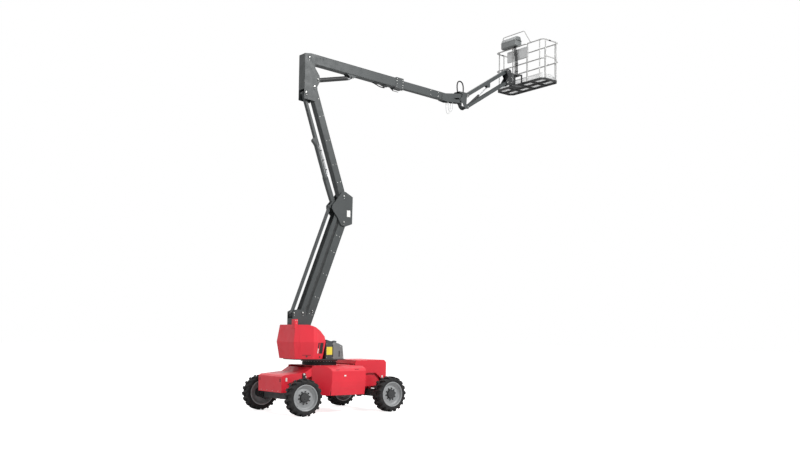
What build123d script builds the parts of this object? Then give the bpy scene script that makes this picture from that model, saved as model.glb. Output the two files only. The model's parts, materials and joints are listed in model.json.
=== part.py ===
"""Articulating boom lift: a wheeled aerial work platform.

Frame: millimetres, +Z up.  The origin is on the ground, on the centre line,
midway between the axles.  +X points to the end that the booms reach over,
where the axle is fixed; the steered axle is at -X.  -Y is the near side.
Every boom stands in the XZ plane.
"""

from build123d import *
import os
from math import cos, radians, sin

os.makedirs("parts", exist_ok=True)

# ---------------------------------------------------------------- driving sizes

# clearances
PIN_GAP = 0.3            # radial gap of a pin, shaft or rod in its bore
SEAT_GAP = 0.3           # gap between faces that seat on each other

# chassis
WHEELBASE = 2400.0
TRACK = 2000.0           # between the tyres' middle planes
FRAME_WIDTH = 860.0
FRAME_BOTTOM = 580.0
FRAME_TOP = 1020.0
FRAME_STEP = -690.0      # where the frame drops toward the steered end
FRAME_LOW_TOP = 840.0    # its top beyond the step
FRAME_WALL = 14.0
COVER_WALL = 5.0
COVER_WIDTH = 1020.0     # width of both end covers
STEER_END = -1500.0      # face of the steered end's bumper
FIXED_END = 1500.0       # face of the other end
BUMPER_BOTTOM = 500.0
DECK_TOP = 1100.0        # deck around the turntable
DECK_FRONT = -640.0
FIXED_HOOD_TOP = 1212.0  # raised cover over the fixed axle
POD_REACH = 900.0        # outer face of a side pod, from the centre line
POD_FRONT = -390.0
POD_REAR = 570.0
POD_BOTTOM = 425.0

# wheels
TYRE_DIAMETER = 840.0
BEAD_RADIUS = 284.0
RIM_LIP = 294.0
RIM_WIDTH = 256.0
RIM_WALL = 14.0
HUB_RADIUS = 118.0
SPINDLE_RADIUS = 55.0
AXLE_BEAM = 170.0        # square section of both axle beams

# steering
KING_PIN_REACH = 730.0   # king pins, from the centre line
KING_PIN_RADIUS = 28.0
STEER_REST = -7.0        # heading of the steered wheels as parked, degrees about +Z
STEER_ARM = 170.0        # king pin to tie rod pin
TIE_ROD_RADIUS = 20.0
FORK_PIN = 12.0          # radius of the pins that join tie rod and steering arms
FORK_PLAY = 8.0          # the slots' extra half width, for the straight path of the pins

# turret
SLEW_X = -150.0
SLEW_RING_RADIUS = 400.0
TURNTABLE_RADIUS = 440.0
TURNTABLE_BOTTOM = 1192.0
TURNTABLE_WALL = 38.0
PLATE_INNER = 112.0      # inner face of the upright's and the tower's plates, from the centre line
PLATE_WALL = 18.0
POST_INNER = 104.0       # inner face of the turret's two post plates
POST_WALL = 20.0
POST_REAR = -990.0
TAIL_TOP = 2040.0
HOOD_BOTTOM = 1250.0
HOOD_WAIST = 1640.0      # height of the hood's widest line
HOOD_SLOT = 200.0        # half width of the slot between the hoods
HOOD_FRONT = -320.0
HOOD_REAR = -1000.0      # seam between the counterweight and the hoods

# risers: pins are (x, z) pairs in the booms' plane
RISER_FOOT = (-613.0, 1956.0)
LOWER_ARM_LENGTH = 2800.0
LOWER_ARM_LEAN = 21.4            # degrees from the vertical, toward +X
LOWER_ARM_SECTION = (200.0, 190.0)   # depth across the arm, width along Y
REAR_LINK_OFFSET = (-347.0, 355.0)   # from the lower arm's pins
REAR_LINK_SECTION = (44.0, 100.0)
MID_LINK_OFFSET = (-109.0, 368.0)
MID_LINK_SECTION = (106.0, 12.0)     # depth, and wall of one plate
LINK_PIN_RADIUS = 22.0
INNER_CHEEK = 56.0                   # inner face of the upright's inner plates
INNER_CHEEK_WALL = 20.0
MID_LINK_INNER = 84.0                # inner face of both mid link plates
KNEE_RISE = (-7.0, 636.0)           # lower arm's top pin to the upper arm's foot
UPPER_ARM_LENGTH = 2719.0
UPPER_ARM_LEAN = 19.67               # degrees from the vertical, toward -X
UPPER_ARM_SECTION = (180.0, 164.0)
UPPER_LINK_OFFSET = (-237.0, -179.0)
UPPER_LINK_BAR = 56.0
UPPER_LINK_FOOT = 104.0              # depth of its lower stretch
UPPER_LINK_TUBE = 60.0               # radius of the thick stretch
UPPER_LINK_HALF = 48.0               # half its width along Y
ARM_WALL = 8.0
PIN_RADIUS = 30.0

# tower and telescopic boom
TOWER_TO_BOOM = (-159.0, 686.0)      # upper arm's top pin to the boom pin
BOOM_DROOP = 2.0                     # degrees below level
MAIN_SECTION = (242.0, 176.0)
MAIN_END = 2700.0
COLLAR_LENGTH = 245.0
COLLAR_PROUD = 22.0
FLY_SECTION = (196.0, 136.0)
FLY_START = 1560.0
FLY_END = 4430.0
BOOM_WALL = 8.0

# jib and platform
NOSE_PIN = (5010.0, -5.0)            # jib base's pin, along and across the boom
JIB_PIN = (4570.0, 8475.0)
JIB_LINK_DROP = 334.0
JIB_LENGTH = 1869.0
JIB_RISE = 32.3                      # degrees above level
JIB_SECTION = (96.0, 100.0)
JIB_LINK_SECTION = (84.0, 12.0)
ROTATOR_X = 6420.0
PLATFORM_X = (6710.0, 7410.0)
PLATFORM_Y = (-955.0, 955.0)
FLOOR_Z = 9230.0
RAIL_TOP = 1120.0
RAIL_RADIUS = 19.0
POST_RADIUS = 16.5
RAIL_CORNER = 110.0
TOE_HEIGHT = 150.0
TOE_WALL = 3.0
BACK_POSTS = (-330.0, 250.0)         # from the middle of the platform along Y
FRONT_POSTS = (-420.0, 300.0)
END_POST_REACH = 150.0               # end posts, from the platform's ends


# ------------------------------------------------------------------- geometry

def ahead(start, length, degrees):
    """Point at a distance from start, degrees above the +X direction."""
    a = radians(degrees)
    return (start[0] + length * cos(a), start[1] + length * sin(a))


def moved(point, offset):
    return (point[0] + offset[0], point[1] + offset[1])


def plane_along(start, end, y=0.0):
    """Work plane in XZ: local x runs from start to end, local y is to its left."""
    direction = (end[0] - start[0], 0, end[1] - start[1])
    return Plane(origin=(start[0], y, start[1]), x_dir=direction, z_dir=(0, -1, 0))


def distance(start, end):
    return ((end[0] - start[0]) ** 2 + (end[1] - start[1]) ** 2) ** 0.5


def seen_along(start, end, point):
    """How far a point lies along, and to the left of, the line start to end."""
    length = distance(start, end)
    ux, uz = (end[0] - start[0]) / length, (end[1] - start[1]) / length
    dx, dz = point[0] - start[0], point[1] - start[1]
    return (dx * ux + dz * uz, dz * ux - dx * uz)


LOWER_TOP = ahead(RISER_FOOT, LOWER_ARM_LENGTH, 90 - LOWER_ARM_LEAN)
REAR_FOOT, REAR_TOP = (moved(p, REAR_LINK_OFFSET) for p in (RISER_FOOT, LOWER_TOP))
MID_FOOT, MID_TOP = (moved(p, MID_LINK_OFFSET) for p in (RISER_FOOT, LOWER_TOP))
KNEE = moved(LOWER_TOP, KNEE_RISE)
UPPER_TOP = ahead(KNEE, UPPER_ARM_LENGTH, 90 + UPPER_ARM_LEAN)
LINK_FOOT, LINK_TOP = (moved(p, UPPER_LINK_OFFSET) for p in (KNEE, UPPER_TOP))
BOOM_PIN = moved(UPPER_TOP, TOWER_TO_BOOM)
BOOM_FAR = ahead(BOOM_PIN, 1000.0, -BOOM_DROOP)
JIB_END = ahead(JIB_PIN, JIB_LENGTH, JIB_RISE)
JIB_LINK_PIN = (JIB_PIN[0], JIB_PIN[1] - JIB_LINK_DROP)
JIB_LINK_END = (JIB_END[0], JIB_END[1] - JIB_LINK_DROP)

# the three cylinders' foot and head pins
RISER_CYLINDER_FOOT = (-505.0, 1330.0)
RISER_CYLINDER_SEAT = 450.0          # along the lower arm, from its foot
RISER_CYLINDER_HEAD = ahead(RISER_FOOT, RISER_CYLINDER_SEAT, 90 - LOWER_ARM_LEAN)
BOOM_CYLINDER_FOOT = moved(UPPER_TOP, (94, 188))
BOOM_CYLINDER_HEAD = moved(BOOM_PIN, (1295, -234))
JIB_CYLINDER_HEAD = moved(JIB_PIN, (880, 420))


# ----------------------------------------------------------- shared operations

def slab(outline, y0, y1, mode=Mode.ADD):
    """Plate in the open part: an outline of (x, z) points between two y values."""
    with BuildSketch(Plane.XZ.offset(-y1)) as face:
        with BuildLine():
            Polyline(*outline, close=True)
        make_face()
    extrude(face.sketch, amount=y1 - y0, mode=mode)


def mirrored_slabs(outline, inner, wall, mode=Mode.ADD):
    """Two like plates, one each side of the centre line."""
    slab(outline, inner, inner + wall, mode)
    slab(outline, -inner - wall, -inner, mode)


def block(x, y, z, mode=Mode.ADD):
    """Box in the open part from (low, high) pairs."""
    with BuildSketch(Plane.XY.offset(z[0])) as face:
        with Locations(((x[0] + x[1]) / 2, (y[0] + y[1]) / 2)):
            Rectangle(x[1] - x[0], y[1] - y[0])
    extrude(face.sketch, amount=z[1] - z[0], mode=mode)


def cross_pin(point, radius, y0, y1, mode=Mode.ADD):
    """Round pin, or bore, along Y through an (x, z) point."""
    with BuildSketch(Plane.XZ.offset(-y1)) as face:
        with Locations(point):
            Circle(radius)
    extrude(face.sketch, amount=y1 - y0, mode=mode)


def rod_between(start, end, radius, y=0.0, mode=Mode.ADD):
    """Round bar in the booms' plane from one (x, z) point to another."""
    base = plane_along(start, end, y)
    with BuildSketch(Plane(origin=base.origin, x_dir=(0, 1, 0), z_dir=base.x_dir)) as face:
        Circle(radius)
    extrude(face.sketch, amount=distance(start, end), mode=mode)


def pinned_bar(start, end, depth, y0, y1, bore=PIN_RADIUS + PIN_GAP, swell=0.0):
    """Flat bar with round ends on two pins; swell widens the ends past the bar."""
    length = distance(start, end)
    base = plane_along(start, end)
    with BuildSketch(Plane(origin=base.origin + Vector(0, y1, 0), x_dir=base.x_dir, z_dir=(0, -1, 0))) as face:
        with Locations((length / 2, 0)):
            Rectangle(length, depth)
        with Locations((0, 0), (length, 0)):
            Circle(depth / 2 + swell)
        with Locations((0, 0), (length, 0)):
            Circle(bore, mode=Mode.SUBTRACT)
    extrude(face.sketch, amount=y1 - y0)


def box_arm(start, end, section, head, tail):
    """Hollow box arm with round ends and a bore at each; head and tail are its end radii."""
    depth, width = section
    length = distance(start, end)
    base = plane_along(start, end)
    with BuildSketch(base) as face:
        with Locations((length / 2, 0)):
            Rectangle(length, depth)
        with Locations((0, 0)):
            Circle(tail)
        with Locations((length, 0)):
            Circle(head)
    extrude(face.sketch, amount=width / 2, both=True)
    with BuildSketch(base) as hollow:
        with Locations((length / 2, 0)):
            Rectangle(length + 2 * depth, depth - 2 * ARM_WALL)
    extrude(hollow.sketch, amount=width / 2 - ARM_WALL, both=True, mode=Mode.SUBTRACT)
    for pin in (start, end):
        cross_pin(pin, PIN_RADIUS + PIN_GAP, -width, width, Mode.SUBTRACT)


def outline_along(start, end, points, y0, y1, mode=Mode.ADD):
    """Plate whose outline is given along and to the left of the line start to end."""
    base = plane_along(start, end)
    with BuildSketch(Plane(origin=base.origin + Vector(0, y1, 0), x_dir=base.x_dir, z_dir=(0, -1, 0))) as face:
        with BuildLine():
            Polyline(*points, close=True)
        make_face()
    extrude(face.sketch, amount=y1 - y0, mode=mode)


def disc_along(start, end, along, across, radius, y0, y1, mode=Mode.ADD):
    """Round boss or bore at a place along and across the line start to end."""
    base = plane_along(start, end)
    with BuildSketch(Plane(origin=base.origin + Vector(0, y1, 0), x_dir=base.x_dir, z_dir=(0, -1, 0))) as face:
        with Locations((along, across)):
            Circle(radius)
    extrude(face.sketch, amount=y1 - y0, mode=mode)


def cylinder_barrel(start, end, radius, rod_radius, length, eye, pin_radius, eye_half):
    """Hydraulic barrel bored for its rod, with an eye at its foot."""
    with BuildPart() as barrel:
        rod_between(ahead_on(start, end, eye * 0.6), ahead_on(start, end, length), radius)
        disc_along(start, end, 0, 0, eye, -eye_half, eye_half)
        rod_between(ahead_on(start, end, eye + 22), ahead_on(start, end, length + 5),
                    rod_radius + PIN_GAP, mode=Mode.SUBTRACT)
        disc_along(start, end, 0, 0, pin_radius + PIN_GAP, -eye_half - 5, eye_half + 5, Mode.SUBTRACT)
    return barrel


def cylinder_rod(start, end, rod_radius, length, eye, eye_half, pin_radius, pin_half):
    """Rod whose eye carries a pin of its own, free between the far lugs."""
    with BuildPart() as rod:
        span = distance(start, end)
        rod_between(ahead_on(start, end, span - length), ahead_on(start, end, span - eye * 0.6), rod_radius)
        disc_along(start, end, span, 0, eye, -eye_half, eye_half)
        disc_along(start, end, span, 0, pin_radius, -pin_half, pin_half)
    return rod


def ahead_on(start, end, length):
    """Point at a distance along the line start to end."""
    part_way = length / distance(start, end)
    return (start[0] + (end[0] - start[0]) * part_way, start[1] + (end[1] - start[1]) * part_way)


def save(builder, label):
    builder.part.label = label
    export_step(builder.part, f"parts/{label}.step")


# -------------------------------------------------------------------- chassis

half_base = WHEELBASE / 2
axle_z = TYRE_DIAMETER / 2
half_frame = FRAME_WIDTH / 2
beam_half = AXLE_BEAM / 2
cover_half = COVER_WIDTH / 2

# long box frame, lower at the steered end, with the ring seat on top and a block over each axle
with BuildPart() as chassis_frame:
    block((FRAME_STEP, 1330), (-half_frame, half_frame), (FRAME_BOTTOM, FRAME_TOP))
    block((-1330, FRAME_STEP), (-half_frame, half_frame), (FRAME_BOTTOM, FRAME_LOW_TOP))
    inner = half_frame - FRAME_WALL
    block((FRAME_STEP + FRAME_WALL, 1400), (-inner, inner),
          (FRAME_BOTTOM + FRAME_WALL, FRAME_TOP - FRAME_WALL), Mode.SUBTRACT)
    block((-1330 + FRAME_WALL, FRAME_STEP), (-inner, inner),
          (FRAME_BOTTOM + FRAME_WALL, FRAME_LOW_TOP - FRAME_WALL), Mode.SUBTRACT)
    for x in (-half_base, half_base):
        block((x - 110, x + 110), (-150, 150), (axle_z + beam_half + SEAT_GAP, FRAME_BOTTOM))
    with BuildSketch(Plane.XY.offset(FRAME_TOP)):
        with Locations((SLEW_X, 0)):
            Circle(SLEW_RING_RADIUS - 30)
            Circle(SLEW_RING_RADIUS - 110, mode=Mode.SUBTRACT)
    extrude(amount=DECK_TOP - FRAME_TOP - 2)

# fixed half of the slewing ring, standing on the frame's seat
with BuildPart() as slew_bearing:
    with BuildSketch(Plane.XY.offset(DECK_TOP - 2 + SEAT_GAP)):
        with Locations((SLEW_X, 0)):
            Circle(SLEW_RING_RADIUS)
            Circle(SLEW_RING_RADIUS - 100, mode=Mode.SUBTRACT)
    extrude(amount=TURNTABLE_BOTTOM - DECK_TOP + 2 - 2 * SEAT_GAP)

# bumper and sloping deck of the steered end, open below, resting on the frame
steer_cover_outline = [
    (STEER_END, BUMPER_BOTTOM), (STEER_END, 860), (STEER_END + 60, 895), (STEER_END + 620, 946),
    (STEER_END + 800, 1052), (DECK_FRONT - 5, 1056), (DECK_FRONT - 5, FRAME_TOP + SEAT_GAP),
    (FRAME_STEP - 8, FRAME_TOP + SEAT_GAP), (FRAME_STEP - 8, FRAME_LOW_TOP + 10), (-1100, 780),
    (-1340, 700), (-1340, BUMPER_BOTTOM),
]
with BuildPart() as steer_end_cover:
    slab(steer_cover_outline, -cover_half, cover_half)
    slab([(-1345, BUMPER_BOTTOM - 10), (-1345, 896), (-885, 938), (FRAME_STEP - 16, 1040),
          (FRAME_STEP - 16, BUMPER_BOTTOM - 10)],
         -cover_half + COVER_WALL, cover_half - COVER_WALL, Mode.SUBTRACT)

# raised cover over the fixed axle, open below
with BuildPart() as fixed_end_cover:
    slab([(POD_REAR - 20, DECK_TOP), (POD_REAR + 10, FIXED_HOOD_TOP), (FIXED_END - 60, FIXED_HOOD_TOP),
          (FIXED_END, FIXED_HOOD_TOP - 60), (FIXED_END, BUMPER_BOTTOM), (1345, BUMPER_BOTTOM),
          (1345, 760), (1180, 900), (820, 900), (780, 760), (POD_REAR + 30, 700), (POD_REAR - 20, 700)],
         -cover_half + 20, cover_half - 20)
    slab([(POD_REAR - 30, DECK_TOP - 10), (POD_REAR + 30, FIXED_HOOD_TOP - COVER_WALL),
          (FIXED_END - 65, FIXED_HOOD_TOP - COVER_WALL), (FIXED_END - COVER_WALL, 1140),
          (FIXED_END - COVER_WALL, BUMPER_BOTTOM + COVER_WALL), (1350, BUMPER_BOTTOM - 10),
          (POD_REAR - 30, 690)],
         -cover_half + 20 + COVER_WALL, cover_half - 20 - COVER_WALL, Mode.SUBTRACT)
    for x in (620, 1250):
        block((x, x + 10), (-half_frame, half_frame), (FRAME_TOP + SEAT_GAP, FIXED_HOOD_TOP - 2))

# deck round the turntable, with the ring's opening
with BuildPart() as deck_plate:
    block((DECK_FRONT, POD_REAR - 25), (-cover_half, cover_half), (DECK_TOP - COVER_WALL - 2, DECK_TOP - 2))
    for side in (-1, 1):
        edge = side * (cover_half - COVER_WALL / 2)
        block((DECK_FRONT, POD_REAR - 25), (edge - COVER_WALL / 2, edge + COVER_WALL / 2),
              (FRAME_TOP - 60, DECK_TOP - COVER_WALL - 2))
        inner_edge = side * (half_frame + SEAT_GAP)
        outer_edge = side * (cover_half - 2)
        block((DECK_FRONT, DECK_FRONT + 30), (min(inner_edge, outer_edge), max(inner_edge, outer_edge)),
              (FRAME_TOP - 60, FRAME_TOP - 40))
        block((500, 530), (min(inner_edge, outer_edge), max(inner_edge, outer_edge)),
              (FRAME_TOP - 60, FRAME_TOP - 40))
    with BuildSketch(Plane.XY.offset(DECK_TOP - 50)):
        with Locations((SLEW_X, 0)):
            Circle(SLEW_RING_RADIUS + 12)
    extrude(amount=60, mode=Mode.SUBTRACT)

# side pods between the wheels; their cross-section, (y, z), is the same for both sides
pod_section = [
    (cover_half + SEAT_GAP, DECK_TOP - 10), (760, DECK_TOP - 12), (POD_REACH - 30, 1040), (POD_REACH, 980),
    (POD_REACH, 740), (POD_REACH - 15, 620), (POD_REACH - 50, POD_BOTTOM), (cover_half + SEAT_GAP, POD_BOTTOM),
]
pod_hollow = [
    (cover_half - 10, DECK_TOP - 16), (758, DECK_TOP - 18), (POD_REACH - 36, 1036), (POD_REACH - 6, 979),
    (POD_REACH - 6, 741), (POD_REACH - 21, 622), (POD_REACH - 56, POD_BOTTOM - 10),
    (cover_half - 10, POD_BOTTOM - 10),
]


def side_pod(side):
    """Sheet-metal pod with slanted ends, open below and towards the frame."""
    outer = [(side * y, z) for y, z in pod_section]
    hollow = [(side * y, z) for y, z in pod_hollow]
    with BuildPart() as pod:
        with BuildSketch(Plane.YZ.offset(POD_FRONT - 330)):
            with BuildLine():
                Polyline(*outer, close=True)
            make_face()
        extrude(amount=POD_REAR - POD_FRONT + 330)
        with BuildSketch(Plane.YZ.offset(POD_FRONT)):
            with BuildLine():
                Polyline(*hollow, close=True)
            make_face()
        extrude(amount=POD_REAR - POD_FRONT - COVER_WALL, mode=Mode.SUBTRACT)
        # the front end slants back from the frame to the outer face
        with BuildSketch(Plane.XY.offset(POD_BOTTOM - 20)):
            with BuildLine():
                Polyline((POD_FRONT - 340, side * (cover_half - 20)),
                         (POD_FRONT - 320, side * (cover_half - 20)),
                         (POD_FRONT, side * POD_REACH), (POD_FRONT, side * (POD_REACH + 20)),
                         (POD_FRONT - 340, side * (POD_REACH + 20)), close=True)
            make_face()
        extrude(amount=DECK_TOP, mode=Mode.SUBTRACT)
        # the slanted end is hollow too, up to its sloping top
        with BuildSketch(Plane.XY.offset(POD_BOTTOM - 20)):
            with BuildLine():
                Polyline((POD_FRONT - 290, side * (cover_half - 20)), (POD_FRONT + 1, side * (POD_REACH - 12)),
                         (POD_FRONT + 1, side * (cover_half - 20)), close=True)
            make_face()
        extrude(amount=960 - POD_BOTTOM + 20, mode=Mode.SUBTRACT)
    return pod


for side_name, side in (("near", -1), ("far", 1)):
    save(side_pod(side), f"side_pod_{side_name}")

# ---------------------------------------------------------------------- axles

# steered axle: beam with a fork at each end and the steering cylinder on its rear face
fork_low, fork_high = axle_z - 125, axle_z + 125
knuckle_half = 95.0 - SEAT_GAP
rod_x = -half_base + STEER_ARM
with BuildPart() as steer_axle:
    block((-half_base - beam_half, -half_base + beam_half), (-KING_PIN_REACH + 125, KING_PIN_REACH - 125),
          (axle_z - beam_half, axle_z + beam_half))
    for side in (-1, 1):
        y_root = side * (KING_PIN_REACH - 95)
        y_tip = side * (KING_PIN_REACH + 40)
        span = (min(y_root, y_tip), max(y_root, y_tip))
        block((-half_base - 55, -half_base + 55), span, (fork_high - 30, fork_high))
        block((-half_base - 55, -half_base + 55), span, (fork_low, fork_low + 30))
        y_web = side * (KING_PIN_REACH - 130)
        web = (min(y_root, y_web), max(y_root, y_web))
        block((-half_base - 55, -half_base + 55), web, (fork_low, fork_high))
        with BuildSketch(Plane.XY.offset(fork_low - 10)):
            with Locations((-half_base, side * KING_PIN_REACH)):
                Circle(KING_PIN_RADIUS + PIN_GAP)
        extrude(amount=fork_high - fork_low + 20, mode=Mode.SUBTRACT)
    with BuildSketch(Plane.XZ.offset(-210)):
        with Locations((rod_x, axle_z)):
            Circle(48)
            Circle(TIE_ROD_RADIUS + PIN_GAP, mode=Mode.SUBTRACT)
    extrude(amount=420)
    block((-half_base + beam_half - 2, rod_x - 40), (-120, 120), (axle_z - 40, axle_z + 40))

# fixed axle: beam with a spindle at each end
with BuildPart() as fixed_axle:
    block((half_base - beam_half, half_base + beam_half), (-700, 700), (axle_z - beam_half, axle_z + beam_half))
    for y0, y1 in ((-860, -640), (640, 860)):
        cross_pin((half_base, axle_z), 95, y0, y1)
    with BuildSketch(Plane.XZ.offset(-990)):
        with Locations((half_base, axle_z)):
            Circle(SPINDLE_RADIUS)
    extrude(amount=1980)
    for start, radius, run in ((-190, 84, 340), (-190, 115, 72)):
        with BuildSketch(Plane.YZ.offset(half_base + start)):
            with Locations((0, axle_z)):
                Circle(radius)
        extrude(amount=run)


def steering_knuckle(side):
    """King pin, knuckle block, spindle and steering arm, turned to the parked heading."""
    centre = (-half_base, side * KING_PIN_REACH)
    turned = Plane(origin=(*centre, axle_z), x_dir=(cos(radians(STEER_REST)), sin(radians(STEER_REST)), 0),
                   z_dir=(0, 0, 1))
    outward = Plane(origin=turned.origin, x_dir=(0, 0, 1), z_dir=turned.y_dir * side)
    with BuildPart() as knuckle:
        with BuildSketch(turned.offset(-knuckle_half + 0.2)):
            with Locations((0, side * 12)):
                Rectangle(100, 104)
        extrude(amount=2 * knuckle_half - 0.4)
        with BuildSketch(turned.offset(-140)):
            Circle(KING_PIN_RADIUS)
        extrude(amount=280)
        with BuildSketch(outward.offset(20)):
            Circle(84)
        extrude(amount=104)
        with BuildSketch(outward):
            Circle(SPINDLE_RADIUS)
        extrude(amount=260)
        with BuildSketch(turned.offset(-14)):
            with Locations(((STEER_ARM + 40) / 2, 0)):
                Rectangle(STEER_ARM + 40, 70)
            with Locations((STEER_ARM + 40, 0)):
                Circle(35)
            with Locations((STEER_ARM + 14, 0)):
                SlotOverall(96, 2 * (FORK_PIN + FORK_PLAY), mode=Mode.SUBTRACT)
        extrude(amount=28)
    return knuckle


for side_name, side in (("near", -1), ("far", 1)):
    save(steering_knuckle(side), f"steering_knuckle_{side_name}")

# tie rod through the steering cylinder, with a fork on each steering arm's eye
rod_shift = STEER_ARM * sin(radians(STEER_REST))
fork_root = KING_PIN_REACH - 90
with BuildPart() as tie_rod:
    with BuildSketch(Plane.XZ.offset(-fork_root - rod_shift)):
        with Locations((rod_x, axle_z)):
            Circle(TIE_ROD_RADIUS)
    extrude(amount=2 * fork_root)
    for side in (-1, 1):
        root = sorted((side * (fork_root - 25) + rod_shift, side * fork_root + rod_shift))
        tip = sorted((side * (fork_root - 25) + rod_shift, side * (KING_PIN_REACH + 24) + rod_shift))
        block((rod_x - 24, rod_x + 24), root, (axle_z - 32, axle_z + 32))
        for z in (axle_z - 32, axle_z + 20):
            block((rod_x - 24, rod_x + 24), tip, (z, z + 12))
        with BuildSketch(Plane.XY.offset(axle_z - 32)):
            with Locations((rod_x, side * KING_PIN_REACH + rod_shift)):
                Circle(FORK_PIN)
        extrude(amount=64)

# --------------------------------------------------------------------- wheels

# tyre section: (offset from the middle plane, radius) from the inner bead outwards
tyre_section = [
    (-128, BEAD_RADIUS), (128, BEAD_RADIUS), (128, 304), (148, 330), (152.5, 358), (149, 388),
    (132, 412), (104, 420), (-104, 420), (-132, 412), (-149, 388), (-152.5, 358), (-148, 330), (-128, 304),
]
lip_inner = RIM_WIDTH / 2 + SEAT_GAP
rim_section = [
    (-lip_inner - 8, RIM_LIP), (-lip_inner, RIM_LIP), (-lip_inner, BEAD_RADIUS - SEAT_GAP),
    (lip_inner, BEAD_RADIUS - SEAT_GAP), (lip_inner, RIM_LIP), (lip_inner + 8, RIM_LIP),
    (lip_inner + 8, BEAD_RADIUS - 12), (lip_inner - 20, BEAD_RADIUS - RIM_WALL),
    (76, BEAD_RADIUS - RIM_WALL - 6), (56, 226), (56, HUB_RADIUS + 22), (44, HUB_RADIUS + 22), (44, 232),
    (60, BEAD_RADIUS - RIM_WALL - 14), (-lip_inner + 20, BEAD_RADIUS - RIM_WALL - 2),
    (-lip_inner - 8, BEAD_RADIUS - 12),
]
hub_section = [
    (-90, SPINDLE_RADIUS + PIN_GAP), (-90, HUB_RADIUS), (30, HUB_RADIUS), (36, HUB_RADIUS + 24),
    (50, HUB_RADIUS + 24), (64, HUB_RADIUS - 6), (104, HUB_RADIUS - 12), (112, 84), (112, 0), (8, 0),
    (8, SPINDLE_RADIUS + PIN_GAP),
]


def wheel_piece(plane, points):
    """Ring turned about the wheel's axle: plane's local x is outwards, local y is up."""
    with BuildPart() as piece:
        with BuildSketch(plane):
            with BuildLine():
                Polyline(*points, close=True)
            make_face()
        revolve(axis=Axis(plane.origin, plane.x_dir))
    return piece


wheel_planes = {}
for end_name, x, heading in (("steer", -half_base, STEER_REST), ("fixed", half_base, 0.0)):
    for side_name, side in (("near", -1), ("far", 1)):
        turn = radians(heading)
        outward = Vector(-sin(turn), cos(turn), 0) * side
        reach = TRACK / 2 - KING_PIN_REACH
        hub = Vector(x, side * KING_PIN_REACH, axle_z) + outward * reach
        plane = Plane(origin=hub, x_dir=outward, z_dir=outward.cross(Vector(0, 0, 1)) * -1)
        if plane.y_dir.Z < 0:
            plane = Plane(origin=hub, x_dir=outward, z_dir=outward.cross(Vector(0, 0, 1)))
        wheel_planes[f"{end_name}_{side_name}"] = plane
for wheel_name, plane in wheel_planes.items():
    save(wheel_piece(plane, tyre_section), f"tyre_{wheel_name}")
    with BuildPart() as rim:
        for points in (rim_section, hub_section):
            with BuildSketch(plane):
                with BuildLine():
                    Polyline(*points, close=True)
                make_face()
            revolve(axis=Axis(plane.origin, plane.x_dir))
    save(rim, f"rim_{wheel_name}")

# --------------------------------------------------------------------- turret

ring_top = TURNTABLE_BOTTOM + TURNTABLE_WALL
pan_top = ring_top + 15
post_outer = POST_INNER + POST_WALL

# plan of the tail and hoods at the waist, from tail to front: x, half width
hood_plan = [(-1115, 375), (-720, 620), (-620, 620), (HOOD_FRONT, 505)]
TOP_INSET = 60.0         # how far the walls lean in from the waist to the top
BOTTOM_INSET = 60.0


def plan_sketch(z, inset):
    """The turret's plan at a height, moved in from the waist line."""
    around = [(x, -y) for x, y in hood_plan] + [(x, y) for x, y in reversed(hood_plan)]
    with BuildSketch(Plane.XY.offset(z)) as plan:
        with BuildLine():
            Polyline(*around, close=True)
        make_face()
        offset(amount=-inset, kind=Kind.INTERSECTION)
    return plan.sketch


def turret_body(wall):
    """Solid with the turret's leaning sides, the wall's thickness smaller all round."""
    with BuildPart() as body:
        for z, inset in ((HOOD_BOTTOM, BOTTOM_INSET), (TAIL_TOP, TOP_INSET)):
            low, high = sorted(((z, inset), (HOOD_WAIST, 0)))
            loft([plan_sketch(height, wall + lean) for height, lean in (low, high)], ruled=True)
    return body.part


# side outline of the turret's top, from the front's foot to the tail
def top_outline(wall):
    """Side view (x, z) of the hoods, the wall's thickness smaller on top and in front."""
    return [(HOOD_FRONT - wall - 80, HOOD_BOTTOM - 1), (HOOD_FRONT - wall, HOOD_BOTTOM + 50),
            (HOOD_FRONT - wall, 1752 - wall), (-490, 1905 - wall), (-640, 1985 - wall), (-790, TAIL_TOP - wall),
            (-1300, TAIL_TOP - wall), (-1300, HOOD_BOTTOM - 1)]


# ring flange, pan and the two post plates that carry the risers' feet
post_plate = [
    (POST_REAR, pan_top - 5), (POST_REAR, 2345), (-900, 2392), (-655, 2392), (-612, 2325), (-636, 2110),
    (-503, 2010), (-470, 1930), (-405, 1620), (-350, 1500), (-340, pan_top - 5),
]
with BuildPart() as turntable:
    with BuildSketch(Plane.XY.offset(TURNTABLE_BOTTOM)):
        with Locations((SLEW_X, 0)):
            Circle(TURNTABLE_RADIUS)
            Circle(SLEW_RING_RADIUS - 110, mode=Mode.SUBTRACT)
    extrude(amount=TURNTABLE_WALL)
    with BuildSketch(Plane.XY.offset(ring_top)):
        with BuildLine():
            Polyline((-1000, -250), (-900, -380), (-700, -510), (250, -510), (250, 510), (-700, 510),
                     (-900, 380), (-1000, 250), close=True)
        make_face()
    extrude(amount=pan_top - ring_top)
    mirrored_slabs(post_plate, POST_INNER, POST_WALL)
    slab([(POST_REAR, pan_top - 1), (POST_REAR, 2190), (POST_REAR + 14, 2190), (POST_REAR + 14, pan_top - 1)],
         -POST_INNER, POST_INNER)
    for point, radius in ((RISER_FOOT, PIN_RADIUS), (REAR_FOOT, LINK_PIN_RADIUS),
                          (RISER_CYLINDER_FOOT, 20.0)):
        cross_pin(point, radius, -post_outer, post_outer)
    # the mid link's short pins leave room for the rear link between them
    for side in (-1, 1):
        low, high = sorted((side * (MID_LINK_INNER - 2), side * post_outer))
        cross_pin(MID_FOOT, PIN_RADIUS, low, high)

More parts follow.
